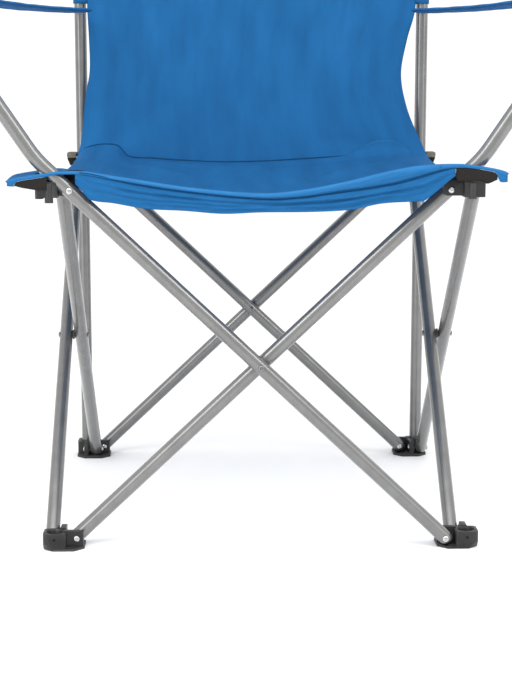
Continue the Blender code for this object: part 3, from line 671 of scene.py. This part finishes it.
def bar_room(second_side, sign):
    """Room beside a foot's ear for the round end of its bar."""
    spread = (sign * (BAR_GAP - GAP), sign * (BAR_FAR + 0.004))
    ends = [beside(second_side, PIVOT_INSET, offset, FOOT_PIVOT_HEIGHT) for offset in spread]
    return rod(*ends, TUBE_RADIUS + 0.0009, sides=40)


def bracket_mesh(name, cut, peg=False):
    """A block about the post axis with a lip, a rib, a peg on one of them, and two ears."""
    top, half = TOP_PIVOT_HEIGHT, BRACKET_HALF_WIDTH
    low, high = top - 0.008, top + 0.010
    body = block((0.001 - half, -half, low), (half, half - 0.001, high), upright, 0.002)
    lip_corners = (0.0005 - half, -half - 0.0007, high - 0.002), (half + 0.0007, half - 0.0005, high)
    lip = block(*lip_corners, upright, 0.002)
    ear_low, ear_high = top - 0.0068, top + 0.0118
    first = ear(False, True, ear_low, ear_high, EAR_END, 0.005, round_bottom=True)
    second = ear(True, False, ear_low, ear_high, EAR_END, 0.005, round_bottom=True)
    rib, shift, out, rib_top = 0.005, 0.002, 0.0105, top + 0.0085
    ribs = [rod((-shift, -out, top - 0.010), (-shift, -out, rib_top), rib)]
    if peg:
        ribs.append(rod((out, shift, top - 0.014), (out, shift, rib_top), rib))
    made = combined(name, body, [lip, *first, *second, *ribs], [cut])
    return rounded_edges(made)


def post_bore():
    reach = Vector((0, 0, 0.020))
    middle = Vector((0, 0, TOP_PIVOT_HEIGHT))
    return rod(middle - reach, middle + reach, POST_BORE, sides=48)


def arm_notch(corner):
    """The way of the arm through a front bracket."""
    rise = along_bar(0.060)
    second_side = corner != 0
    offset = BAR_OFFSET if second_side else -BAR_OFFSET
    start = beside(second_side, PIVOT_INSET, offset, TOP_PIVOT_HEIGHT)
    end = beside(second_side, PIVOT_INSET - rise.x, offset, TOP_PIVOT_HEIGHT + rise.z)
    return rod(start, end, TUBE_RADIUS + 2 * GAP)


def make_feet_and_brackets():
    foot = foot_mesh()
    sliding = bracket_mesh("sliding_bracket", post_bore())
    for corner, name in enumerate(CORNER_NAMES):
        place = corner_frame(corner)
        stand_for(f"foot_{name}", foot, BLACK_PLASTIC, place)
        bracket = sliding
        if name.startswith("front"):
            bracket = bracket_mesh("front_bracket", arm_notch(corner), peg=name == "front_left")
        stand_for(f"bracket_{name}", bracket, BLACK_PLASTIC, place)


# -------- cloth

def through(points, x):
    """A smooth line through listed (x, height) points, read at x."""
    if x <= points[0][0]:
        return points[0][1]
    if x >= points[-1][0]:
        return points[-1][1]
    index = next(number for number in range(1, len(points)) if x <= points[number][0])
    before = points[max(index - 2, 0)]
    start, end = points[index - 1], points[index]
    after = points[min(index + 1, len(points) - 1)]
    span = end[0] - start[0]
    t = (x - start[0]) / span
    slope_in = (end[1] - before[1]) / max(end[0] - before[0], 1e-9) * span
    slope_out = (after[1] - start[1]) / max(after[0] - start[0], 1e-9) * span
    t2, t3 = t * t, t * t * t
    value = (2 * t3 - 3 * t2 + 1) * start[1] + (t3 - 2 * t2 + t) * slope_in
    return value + (3 * t2 - 2 * t3) * end[1] + (t3 - t2) * slope_out


def smoothstep(low, high, value):
    t = min(max((value - low) / (high - low), 0.0), 1.0)
    return t * t * (3 - 2 * t)


def folds(x, y, lines):
    """Height of soft folds: each line is (start, end, half width, height)."""
    total = 0.0
    for (x0, y0), (x1, y1), width, height in lines:
        run_x, run_y = x1 - x0, y1 - y0
        length = run_x * run_x + run_y * run_y
        t = ((x - x0) * run_x + (y - y0) * run_y) / length
        if not -0.15 < t < 1.15:
            continue
        off_x, off_y = x - x0 - t * run_x, y - y0 - t * run_y
        away = (off_x * off_x + off_y * off_y) / (width * width)
        fade = smoothstep(-0.15, 0.25, t) * (1 - smoothstep(0.75, 1.15, t))
        total += height * math.exp(-away) * fade
    return total


def crumple(x, y, size, seed):
    """Uneven slackness of a sheet, between about -1 and 1, with the given size of its waves."""
    return noise.noise(Vector((x / size, y / size, seed)))


def cloth_mesh(name, surface, across, along, keep=None):
    """A sheet over the grid of two lists of positions, with its flat layout as UVs."""
    cage = bmesh.new()
    flat = cage.loops.layers.uv.new("cloth")
    rows = [[cage.verts.new(surface(p, q)) for p in across] for q in along]
    for row in range(len(along) - 1):
        for column in range(len(across) - 1):
            p, q = (across[column] + across[column + 1]) / 2, (along[row] + along[row + 1]) / 2
            if keep and not keep(p, q):
                continue
            corners = ((row, column), (row, column + 1), (row + 1, column + 1), (row + 1, column))
            face = cage.faces.new([rows[r][c] for r, c in corners])
            for loop, (r, c) in zip(face.loops, corners):
                loop[flat].uv = (across[c], along[r])
    loose = [vertex for vertex in cage.verts if not vertex.link_faces]
    bmesh.ops.delete(cage, geom=loose, context="VERTS")
    mesh = from_bmesh(name, cage)
    mesh.shade_smooth()
    return mesh


def cloth_piece(name, mesh, body, nodes=(), finish=BLUE, thickness=CLOTH):
    obj = linked(name, mesh)
    mesh.materials.append(finish)
    if thickness:
        solid = obj.modifiers.new("thickness", "SOLIDIFY")
        solid.thickness = thickness
        solid.offset = -1.0
        solid.use_rim = True
    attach(obj, body)
    if nodes:
        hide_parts(*nodes)
    return obj


# -------- seat

RIDGE = (
    (-0.2995, 0.4485), (-0.2960, 0.4520), (-0.2875, 0.4543), (-0.2750, 0.4565), (-0.2550, 0.4597),
    (-0.2350, 0.4620), (-0.1580, 0.4505), (-0.0830, 0.4393), (0.0, 0.4325), (0.0450, 0.4360),
    (0.0950, 0.4450), (0.1500, 0.4580), (0.1850, 0.4640), (0.2350, 0.4655), (0.2700, 0.4605),
    (0.2850, 0.4570), (0.2915, 0.4535),
)
SEAM = (
    (-0.2995, 0.4430), (-0.2970, 0.4410), (-0.2885, 0.4405), (-0.2855, 0.4450), (-0.2650, 0.4490),
    (-0.2450, 0.4522), (-0.2250, 0.4565), (-0.2000, 0.4550), (-0.1580, 0.4450), (-0.0830, 0.4335),
    (0.0, 0.4258), (0.0450, 0.4272), (0.0950, 0.4340), (0.1570, 0.4437), (0.2090, 0.4580),
    (0.2280, 0.4610), (0.2450, 0.4605), (0.2620, 0.4580), (0.2745, 0.4548), (0.2765, 0.4500),
    (0.2780, 0.4450), (0.2890, 0.4446), (0.2915, 0.4462),
)
REAR_EDGE = (
    (-0.253, 0.4530), (-0.246, 0.4625), (-0.230, 0.4675), (-0.212, 0.4695), (-0.194, 0.4665),
    (-0.180, 0.4520), (-0.148, 0.4490), (-0.100, 0.4460), (-0.040, 0.4440), (0.050, 0.4470),
    (0.140, 0.4530), (0.200, 0.4570), (0.253, 0.4530),
)
REAR_LEVEL, SEAT_SAG, SIDE_SAG = 0.450, 0.024, 0.010
REAR_CURL = 0.019            # radius in which the seat's right rear edge turns up into the back
LEFT_WING_TILT = 0.08        # the left front corner slopes down to the front
ROLL, WING_ROLL = 0.0032, 0.0018    # radius of the rolled front edge, along the seat and at its corners
ROLL_ROWS = 0.4              # the part of the front edge's rows that the roll takes
WING_OUT = 0.0007            # the corners' front edge stands forward of the arm that passes behind it
TIP_RADIUS = 0.011           # of the corners, seen from above
WING_SHARE = 0.72            # part of the seat's half width, in columns, that lies between the wings
FLAT_FROM = SEAT_FRONT + ROLL    # y behind the roll, where the seat lies flat
WING_ROW, FOLD_ROW, REAR_ROW = (y - FLAT_FROM for y in (WING_BACK, SEAT_FOLD, SEAT_REAR))
FRONT_EDGE_ROWS = [-1 + number / 10 for number in range(10)]

SEAT_FOLDS = (
    ((-0.20, -0.245), (-0.05, -0.17), 0.010, 0.0016),
    ((-0.17, -0.225), (-0.02, -0.09), 0.014, 0.0014),
    ((0.19, -0.245), (0.05, -0.16), 0.011, 0.0018),
    ((0.16, -0.215), (0.03, -0.07), 0.014, 0.0012),
    ((-0.21, 0.175), (-0.08, 0.10), 0.012, 0.0018),
    ((0.22, 0.175), (0.09, 0.09), 0.013, 0.0018),
    ((-0.15, 0.185), (-0.03, 0.165), 0.009, 0.0013),
    ((0.17, 0.187), (0.03, 0.170), 0.009, -0.0013),
)


def seat_half_width(y):
    """The sides run in a shallow curve from behind the front corners to the posts."""
    v = min(max((y - WING_BACK) / (SEAT_REAR - WING_BACK), 0.0), 1.0)
    return SIDE_HALF_WIDTH + (REAR_HALF_WIDTH - SIDE_HALF_WIDTH) * v - 0.002 * math.sin(math.pi * v)


def seat_height(x, y):
    v = (y - SEAT_FRONT) / (SEAT_REAR - SEAT_FRONT)
    u = min(1.0, abs(x) / seat_half_width(y))
    level = v * v * (3 - 2 * v)
    height = (1 - level) * through(RIDGE, x) + level * REAR_LEVEL
    height += v ** 8 * (through(REAR_EDGE, x) - REAR_LEVEL)
    dip = 4 * v * (1 - v)
    height -= SIDE_SAG * dip * dip + SEAT_SAG * (1 - u * u) * dip
    curled = smoothstep(0.128, 0.185, x) * (1 - smoothstep(0.200, 0.250, x))
    turn = min(max(y - SEAT_REAR + REAR_CURL, 0.0), REAR_CURL)
    height += curled * (REAR_CURL - math.sqrt(REAR_CURL * REAR_CURL - turn * turn))
    height -= LEFT_WING_TILT * max(WING_BACK - y, 0.0) * smoothstep(0.200, 0.240, -x)
    calm = smoothstep(0.0, 0.08, v) * (1 - u ** 6)
    height += calm * folds(x, y, SEAT_FOLDS)
    return height + calm * 0.0012 * crumple(x, y, 0.055, 3.1)


def wing_half_width(y, tip):
    """The rounded tips of the seat's front corners."""
    near = min(y - SEAT_FRONT, WING_BACK - y)
    inset = TIP_RADIUS - min(max(near, 0.0), TIP_RADIUS)
    return tip - TIP_RADIUS + math.sqrt(TIP_RADIUS * TIP_RADIUS - inset * inset)


def seat_place(share, y, winged):
    """x of a column: its share runs from -1 to 1, and WING_SHARE lies on WING_START."""
    half = wing_half_width(y, LEFT_TIP if share < 0 else RIGHT_TIP) if winged else seat_half_width(y)
    if abs(share) <= WING_SHARE:
        return WING_START * share / WING_SHARE
    outer = WING_START + (half - WING_START) * (abs(share) - WING_SHARE) / (1 - WING_SHARE)
    return math.copysign(outer, share)


def seat_surface(share, row, winged=False):
    """A row below 0 runs down the front edge, from 0 at the roll's top to -1 at the seam, and a row
    from 0 up is a distance behind FLAT_FROM."""
    y = FLAT_FROM + max(row, 0.0)
    x = seat_place(share, y, winged)
    top = seat_height(x, y)
    if row >= 0:
        return Vector((x, y, top))
    inner = 1 - smoothstep(0.195, 0.235, abs(x))
    roll = WING_ROLL + (ROLL - WING_ROLL) * inner
    out = ROLL + WING_OUT * (1 - inner)
    if row > -ROLL_ROWS:
        angle = -row / ROLL_ROWS * math.pi / 2
        return Vector((x, y - out * math.sin(angle), top - roll * (1 - math.cos(angle))))
    drop = (-row - ROLL_ROWS) / (1 - ROLL_ROWS)
    bulge = inner * (0.0012 + 0.0009 * crumple(x, drop * 0.02, 0.035, 6.6)) * math.sin(math.pi * drop)
    low = min(through(SEAM, x), top - roll - 0.0015)
    return Vector((x, y - out - bulge, top - roll + (low - top + roll) * drop))


def seat_shares():
    """Columns of the seat, closer together in its wings."""
    right = spaced(WING_SHARE, 1, 36)[1:]
    return [-share for share in reversed(right)] + spaced(-WING_SHARE, WING_SHARE, 104) + right


def between_wings(share, row):
    return abs(share) < WING_SHARE or row > WING_ROW


def make_seat():
    """The two halves of the seat, which meet at SEAT_FOLD, and the wings."""
    rows = FRONT_EDGE_ROWS + spaced(0, WING_ROW, 15) + spaced(WING_ROW, FOLD_ROW, 46)[1:]
    mesh = cloth_mesh("seat_front_cloth", seat_surface, seat_shares(), rows, between_wings)
    front = cloth_piece("seat_front_cloth", mesh, "seat_front", ["seat_front"], finish=BLUE_WITH_HEM_HIGHLIGHT)
    last_rows = [REAR_ROW - offset for offset in (0.0028, 0.0016, 0.0008, 0.0003, 0.0)]
    rows = spaced(FOLD_ROW, REAR_ROW - 0.004, 52) + last_rows
    mesh = cloth_mesh("seat_rear_cloth", seat_surface, seat_shares(), rows)
    rear = cloth_piece("seat_rear_cloth", mesh, "seat_rear", ["seat_rear"])
    squeeze(front)
    squeeze(rear)
    for side, direction in (("left", -1), ("right", 1)):
        columns = [share for share in seat_shares() if share * direction >= WING_SHARE - GAP]
        mesh = cloth_mesh(f"wing_{side}", lambda p, q: seat_surface(p, q, winged=True), columns, wing_rows())
        open_hole(mesh, *arm_hole(side, direction))
        wing = cloth_piece(f"wing_{side}", mesh, BODY_OF[f"seat_flap_{side}"], [f"seat_flap_{side}"],
                           finish=BLUE_WITH_HEM_HIGHLIGHT, thickness=WING_CLOTH)


def wing_rows():
    """Rows of a wing, closer together at its rounded tips."""
    fine = [0.0, 0.001, 0.0022, 0.004, 0.0062, 0.0082, 0.0103]
    middle = spaced(0.0125, WING_ROW - 0.0125, 17)
    return FRONT_EDGE_ROWS + fine + middle + [WING_ROW - offset for offset in reversed(fine)]


def arm_hole(side, direction):
    """Centre and half size of the buttonhole where the arm passes a front corner."""
    y = -PLANE + (BAR_OFFSET if side == "right" else -BAR_OFFSET)
    crossing = PIVOT + (seat_height(direction * 0.236, y) - TOP_PIVOT_HEIGHT) / math.tan(SLOPE)
    room = 0.0012
    size = TUBE_RADIUS + room
    return Vector((direction * crossing, y)), Vector((size / math.sin(SLOPE) + room, size))


def open_hole(mesh, centre, half):
    """Take the faces inside an oval out of a flat sheet and draw its rim onto the oval."""
    cage = opened(mesh)

    def reach(spot):
        return math.hypot((spot.x - centre.x) / half.x, (spot.y - centre.y) / half.y)

    def inside(spot):
        return spot.y > FLAT_FROM and reach(spot) < 1.0

    before = {edge for edge in cage.edges if edge.is_boundary}
    faces = [face for face in cage.faces if inside(face.calc_center_median())]
    bmesh.ops.delete(cage, geom=faces, context="FACES")
    rim = [edge for edge in cage.edges if edge.is_boundary and edge not in before]
    for vertex in {vertex for edge in rim for vertex in edge.verts}:
        spot = vertex.co
        if spot.y <= FLAT_FROM + GAP:
            continue
        away = reach(spot)
        spot.x = centre.x + (spot.x - centre.x) / away
        spot.y = max(centre.y + (spot.y - centre.y) / away, FLAT_FROM)
        spot.z = seat_height(spot.x, spot.y)
    cage.to_mesh(mesh)
    cage.free()


def squeeze(obj):
    """Gives the piece a mesh of its own."""
    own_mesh(obj)


# -------- skirt

SKIRT_LEFT, SKIRT_RIGHT = -0.2165, 0.2265
SKIRT_HEM = (
    (-0.2165, 0.4428), (-0.2085, 0.4350), (-0.2005, 0.4250), (-0.1720, 0.4205), (-0.1350, 0.4140),
    (-0.0900, 0.4115), (-0.0450, 0.4080), (0.0, 0.4095), (0.0600, 0.4100), (0.1050, 0.4125),
    (0.1400, 0.4195), (0.1830, 0.4220), (0.1890, 0.4222), (0.1950, 0.4258), (0.2070, 0.4357),
    (0.2146, 0.4423), (0.2196, 0.4467), (0.2265, 0.4518),
)
SKIRT_FOLDS = (
    ((-0.205, 0.30), (-0.060, 0.26), 0.050, 0.0020),
    ((-0.190, 0.60), (-0.050, 0.50), 0.055, 0.0020),
    ((-0.175, 0.42), (-0.020, 0.38), 0.045, -0.0017),
    ((-0.120, 0.75), (0.010, 0.70), 0.055, 0.0018),
    ((-0.040, 0.30), (0.110, 0.34), 0.050, 0.0020),
    ((-0.010, 0.52), (0.150, 0.48), 0.050, -0.0016),
    ((0.030, 0.68), (0.190, 0.62), 0.060, 0.0020),
    ((0.080, 0.42), (0.205, 0.34), 0.055, 0.0020),
    ((0.150, 0.84), (0.060, 0.88), 0.045, -0.0014),
)


def skirt_surface(share, lift):
    """share runs from -1 to 1 across the skirt, and lift from -1 at the hem to 0 at the seam."""
    x = (SKIRT_RIGHT - SKIRT_LEFT) * (share + 1) / 2 + SKIRT_LEFT
    drop = -lift
    top, hem = through(SEAM, x) + 0.0012, through(SKIRT_HEM, x)
    y = SEAT_FRONT + 0.0014 - 0.0032 * smoothstep(0.0, 0.35, drop)
    y -= folds(x, drop, SKIRT_FOLDS)
    y -= 0.0019 * crumple(x * 0.22, drop * 0.028, 0.0065, 7.7) * math.sin(math.pi * min(1, drop * 1.1))
    return Vector((x, y, top + (hem - top) * drop))


def make_skirt():
    mesh = cloth_mesh("skirt_cloth", skirt_surface, spaced(-1, 1, 120), spaced(-1, 0, 22))
    skirt = cloth_piece("skirt_cloth", mesh, BODY_OF["seat_skirt"], ["seat_skirt"])
    squeeze(skirt)


# -------- back

BACK_LEFT_EDGE = ((0.438, -0.262), (0.452, -0.255), (0.475, -0.2490), (0.52, -0.2445), (0.545, -0.2415),
                  (0.575, -0.2365), (0.62, -0.2370), (0.668, -0.2390), (0.86, -0.2390))
BACK_RIGHT_EDGE = ((0.438, 0.268), (0.452, 0.257), (0.475, 0.2460), (0.52, 0.2275), (0.57, 0.2185),
                   (0.62, 0.2270), (0.668, 0.2390), (0.86, 0.2390))
BACK_FOLDS = (
    ((-0.20, 0.47), (-0.11, 0.54), 0.020, 0.0030),
    ((-0.13, 0.50), (-0.02, 0.60), 0.028, -0.0030),
    ((0.17, 0.47), (0.14, 0.60), 0.018, -0.0028),
    ((0.10, 0.52), (0.05, 0.64), 0.026, 0.0026),
    ((-0.20, 0.60), (-0.08, 0.72), 0.030, 0.0024),
    ((0.20, 0.62), (0.09, 0.74), 0.028, 0.0024),
    ((0.21, 0.46), (0.10, 0.475), 0.012, 0.0018),
)

BACK_STAND, BACK_LEAN, BACK_BOW = 0.0045, 0.0275, 0.007    # behind the seat, further up, and in the middle
BACK_HEM = 0.006             # how far the back's lower corners hang below BACK_BOTTOM
TUCK_RADIUS = 0.010          # between the corners the hem turns forward under the seat's rear edge
TUCK_LENGTH = TUCK_RADIUS * math.pi / 2


def back_surface(share, row):
    """share runs from -1 at the left edge to 1 at the right edge. A row is a height, and below
    BACK_BOTTOM it runs along the tucked hem."""
    under = max(BACK_BOTTOM - row, 0.0) / TUCK_LENGTH
    z = max(row, BACK_BOTTOM) - BACK_HEM * under
    left, right = through(BACK_LEFT_EDGE, z), through(BACK_RIGHT_EDGE, z)
    x = left + (right - left) * (share + 1) / 2
    tucked = 1 - smoothstep(0.17, 0.21, abs(x))
    turn = under * math.pi / 2
    v = min(1.0, (z - BACK_BOTTOM) / (BACK_SEAM - BACK_BOTTOM))
    low = SEAT_REAR + BACK_STAND + BACK_LEAN * math.sin(max(v, 0.0) * math.pi / 2)
    rise = min(1.0, (z - BACK_BOTTOM) / (BACK_TOP - BACK_BOTTOM))
    bow = BACK_BOW * (1 - share * share) * math.sin(math.pi * rise)
    calm = smoothstep(0.0, 0.15, v) * (1 - share ** 8) * (1 - smoothstep(0.80, 0.85, z))
    y = low + bow + calm * (folds(x, z, BACK_FOLDS) + 0.0016 * crumple(x, z, 0.07, 5.3))
    y -= tucked * TUCK_RADIUS * (1 - math.cos(turn))
    z -= tucked * (TUCK_RADIUS * math.sin(turn) - BACK_HEM * under)
    return Vector((x, y, z))


def make_back():
    rows = spaced(BACK_BOTTOM - TUCK_LENGTH, BACK_BOTTOM, 8)[:-1] + spaced(BACK_BOTTOM, BACK_TOP, 96)
    mesh = cloth_mesh("back_cloth", back_surface, spaced(-1, 1, 116), rows)
    back = cloth_piece("back_cloth", mesh, "leg_rear_left", ["back_lower", "back_upper"])
    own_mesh(back)
    make_sleeve("left", -1)
    make_sleeve("right", 1)


def make_sleeve(side, direction):
    """The back's edge wrapped round its post and sewn to itself."""
    centre = Vector((direction * HALF_SPAN, HALF_SPAN, 0))
    radius = TUBE_RADIUS + CLOTH + 0.0005
    tip = Vector((direction * 0.2385, 0.2365, 0))
    reach = (tip - centre).length
    facing = math.atan2(tip.y - centre.y, tip.x - centre.x)
    open_angle = math.acos(radius / reach)
    steps = 34

    def around(share, z):
        step = share * steps
        if step < 1:
            flat = tip.lerp(centre + level(facing + open_angle) * radius, step)
        elif step > steps - 1:
            flat = (centre + level(facing - open_angle) * radius).lerp(tip, step - steps + 1)
        else:
            angle = facing + open_angle + (step - 1) / (steps - 2) * (FULL_TURN - 2 * open_angle)
            loose = 1 + 0.05 * crumple(angle * 0.05, z, 0.03, 2.2)
            flat = centre + level(angle) * radius * loose
        return Vector((flat.x, flat.y, z))

    rows = spaced(BACK_SEAM + 0.004, BACK_TOP, 44)
    mesh = cloth_mesh(f"back_sleeve_{side}", around, spaced(0, 1, steps), rows)
    sleeve = cloth_piece(f"back_sleeve_{side}", mesh, f"leg_rear_{side}")


# -------- armrests, patches and tabs

def make_armrests():
    """A strap of doubled cloth from each arm's cap back to the post, with rolled sides."""
    bottom, thickness, half_width = ARM_TOP + 0.0095, 0.007, 0.0275
    for side, outer, direction in (("left", True, -1), ("right", False, 1)):
        tube_end = bar_matrix(0, outer) @ arm_path()[-1]
        front = Vector((tube_end.x - direction * 0.002, ARMREST_FRONT, bottom + thickness / 2))
        back = Vector((direction * (HALF_SPAN + 0.006), ARMREST_REAR, bottom + thickness / 2))
        run = back - front
        length = run.length
        forward = run.normalized()
        sideways = Vector((forward.y, -forward.x, 0))

        def ring(angle, along):
            share = along / length
            wide = half_width * (1 - 0.10 * math.sin(math.pi * share) ** 2)
            cos, sin = math.cos(angle), math.sin(angle)
            across = math.copysign(abs(cos) ** 0.55, cos) * wide
            up = math.copysign(abs(sin) ** 0.8, sin) * thickness / 2 * (1 - 0.25 * abs(cos) ** 4)
            sag = -0.004 * math.sin(math.pi * share) + 0.0005 * crumple(across, along, 0.03, 9.0 + sin)
            return front + forward * along + sideways * across + Vector((0, 0, up + sag))

        name = f"armrest_{side}"
        mesh = cloth_mesh(f"{name}_cloth", ring, spaced(0, FULL_TURN, 40), spaced(0, length, 90))
        close_ends(mesh)
        strap = cloth_piece(f"{name}_cloth", mesh, name, [name], thickness=0)
        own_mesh(strap)


def close_ends(mesh):
    cage = opened(mesh)
    bmesh.ops.remove_doubles(cage, verts=cage.verts, dist=0.00005)
    bmesh.ops.holes_fill(cage, edges=[edge for edge in cage.edges if edge.is_boundary])
    bmesh.ops.recalc_face_normals(cage, faces=cage.faces)
    cage.to_mesh(mesh)
    cage.free()
    shaded(mesh, math.radians(60))


# The dark tape under the seat's front corners: name, side, y, x range, lower edge, overlap with the seam.
PATCHES = (
    ("patch_left_behind", "left", -0.2460, -0.2500, -0.2065, ((-0.25, 0.4462), (-0.20, 0.4462)), 0.0015),
    ("patch_left", "left", -0.2656, -0.2890, -0.2500,
     ((-0.2890, 0.4420), (-0.2860, 0.4405), (-0.2650, 0.4362), (-0.2500, 0.4358)), -0.0002),
    ("patch_right", "right", -0.2656, 0.2272, 0.2760,
     ((0.2270, 0.4500), (0.2300, 0.4456), (0.2590, 0.4450), (0.2640, 0.4425), (0.2760, 0.4470)), -0.0002),
)


def make_patches():
    for name, side, front, low, high, lower_edge, overlap in PATCHES:
        def patch(x, share):
            top = through(SEAM, x) + overlap
            bottom = min(through(lower_edge, x) + 0.0004 * crumple(x, 0, 0.012, 4.4), top - 0.0010)
            return Vector((x, front, bottom + (top - bottom) * share))

        mesh = cloth_mesh(name, patch, spaced(low, high, 30), spaced(0, 1, 4))
        tape = cloth_piece(name, mesh, BODY_OF[f"seat_flap_{side}"], finish=WEBBING, thickness=TAPE_CLOTH)


def seam_shade_cord(name, spots, body):
    """A dark cord along a seam, painted as the shade in its crease: spots are (point, radius) pairs."""
    cage = bmesh.new()
    flat = cage.loops.layers.uv.new("cloth")
    sides = 8
    turns = spaced(0, FULL_TURN, sides)[:-1]
    outline = [Vector((0, math.cos(turn), math.sin(turn))) for turn in turns]
    rings = [[cage.verts.new(spot + out * radius) for out in outline] for spot, radius in spots]
    for first, second in zip(rings, rings[1:]):
        for index in range(sides):
            after = (index + 1) % sides
            cage.faces.new((first[index], second[index], second[after], first[after]))
    cage.faces.new(rings[0])
    cage.faces.new(list(reversed(rings[-1])))
    for face in cage.faces:
        for loop in face.loops:
            loop[flat].uv = (loop.vert.co.x, loop.vert.co.z)
    bmesh.ops.recalc_face_normals(cage, faces=cage.faces)
    mesh = from_bmesh(name, cage)
    mesh.shade_smooth()
    squeeze(cloth_piece(name, mesh, body, finish=SEAM_SHADE_BLUE, thickness=0))


def make_seams():
    """The seam between the front edge and the skirt, and the one where the seat meets the back, each drawn as
    a dark cord of painted shade in its crease.
    """
    front, rear = [], []
    for share in spaced(0, 1, 150):
        x = SKIRT_LEFT + 0.002 + (SKIRT_RIGHT - SKIRT_LEFT - 0.004) * share
        weight = (smoothstep(0.0, 0.35, share) * 0.6 + 0.4) * smoothstep(0.0, 0.02, min(share, 1 - share))
        radius = 0.00085 * weight * (1 + 0.25 * crumple(x, 0, 0.03, 1.9))
        front.append((Vector((x, SEAT_FRONT - 0.0003, through(SEAM, x) - 0.0002)), radius + 0.0001))
        x = -0.2500 + 0.400 * share
        taper = smoothstep(0.0, 0.06, share) * (1 - smoothstep(0.86, 0.99, share))
        radius = 0.0011 * taper * (1 + 0.35 * crumple(x, 0, 0.045, 8.1))
        rear.append((Vector((x, SEAT_REAR + 0.0018, seat_height(x, SEAT_REAR) + 0.0006)), radius + 0.0001))
    seam_shade_cord("front_seam_shade", front, "seat_front")
    seam_shade_cord("rear_seam_shade", rear, "seat_rear")


def make_rear_tabs():
    """Folded tape beside the sliding brackets, with a dark tongue that narrows downwards and a neck
    that joins it to its bracket."""
    for side, direction in (("left", -1), ("right", 1)):
        low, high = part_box(f"rear_tab_{side}")
        middle = high.z - 0.0080
        upper = block((low.x, low.y, middle), high, lambda along, spot: along == "y", 0.0022)
        upper = rounded_edges(upper, 0.0006)
        inner, outer = HALF_SPAN + 0.0137, max(abs(low.x), abs(high.x)) - GAP
        bottom = low.z - 0.0070
        lower = block((direction * inner, low.y, bottom), (direction * outer, high.y, middle - GAP))
        for vertex in lower.vertices:
            if vertex.co.z < low.z:
                vertex.co.x -= direction * 0.5 * (abs(vertex.co.x) - inner)
        near, far = direction * (HALF_SPAN + TUBE_RADIUS + 0.0005), direction * (inner + 0.002)
        slim = 0.0004
        neck = block((near, low.y + slim, TOP_PIVOT_HEIGHT + 0.0105), (far, high.y - slim, middle - slim))
        lower = rounded_edges(combined(f"rear_tab_under_{side}", lower, [neck]), 0.0008)
        stand_for(f"rear_tab_{side}", upper, TAPE, Matrix())
        under = linked(f"rear_tab_under_{side}", lower)
        lower.materials.append(WEBBING)
        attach(under, BODY_OF[f"rear_tab_{side}"])


make_bars()
make_posts()
make_rivets()
make_feet_and_brackets()
make_seat()
make_skirt()
make_back()
make_armrests()
make_patches()
make_seams()
make_rear_tabs()


# -------- floor, light and camera

WHITE = (1.0, 1.0, 1.0, 1.0)
SOFTBOXES = (    # name, place, what it faces, width and height, watts
    ("overhead", (0.0, -1.6, 2.3), (0, 0, 0.3), (6.0, 1.2), 84.0),
    ("left_box", (-2.1, -1.9, 1.15), (0, 0, 0.35), (0.75, 2.2), 18.0),
    ("right_box", (2.3, -1.5, 1.15), (0, 0, 0.35), (0.60, 2.2), 8.0),
)
WORLD_STRENGTH = 1.09
CAMERA_PLACE, CAMERA_HEADING = (-0.0532, -2.1173, 0.5622), Vector((0.0252, 0.9997, 0))
CAMERA_TILT = math.radians(9.35)    # downwards
LENS, SENSOR = 83.7, 36.0           # in millimetres


def make_floor():
    cage = bmesh.new()
    bmesh.ops.create_grid(cage, x_segments=1, y_segments=1, size=60.0)
    floor = linked("floor", from_bmesh("floor", cage))
    made, tree, shader = start_material("floor_white", 0.6)
    fill(tree, shader, {"Base Color": (0.96, 0.96, 0.96, 1.0)})
    floor.data.materials.append(made)


def area_light(name, place, target, size, power):
    data = bpy.data.lights.new(name, "AREA")
    data.shape = "RECTANGLE"
    data.size, data.size_y = size
    data.energy = power
    lamp = linked(name, data)
    lamp.location = place
    lamp.rotation_mode = "QUATERNION"
    lamp.rotation_quaternion = (Vector(place) - Vector(target)).to_track_quat("Z", "Y")


def make_light():
    world = bpy.data.worlds.new("studio")
    world.use_nodes = True
    background = world.node_tree.nodes["Background"]
    fill(world.node_tree, background, {"Color": WHITE, "Strength": WORLD_STRENGTH})
    bpy.context.scene.world = world
    bpy.context.scene.view_settings.view_transform = "Standard"
    for softbox in SOFTBOXES:
        area_light(*softbox)


def make_camera():
    data = bpy.data.cameras.new("camera")
    camera = linked("camera", data)
    data.lens, data.sensor_width = LENS, SENSOR
    looking = CAMERA_HEADING * math.cos(CAMERA_TILT) - Vector((0, 0, math.sin(CAMERA_TILT)))
    camera.location = CAMERA_PLACE
    camera.rotation_mode = "QUATERNION"
    camera.rotation_quaternion = looking.to_track_quat("-Z", "Y")
    bpy.context.scene.camera = camera


make_floor()
make_light()
make_camera()
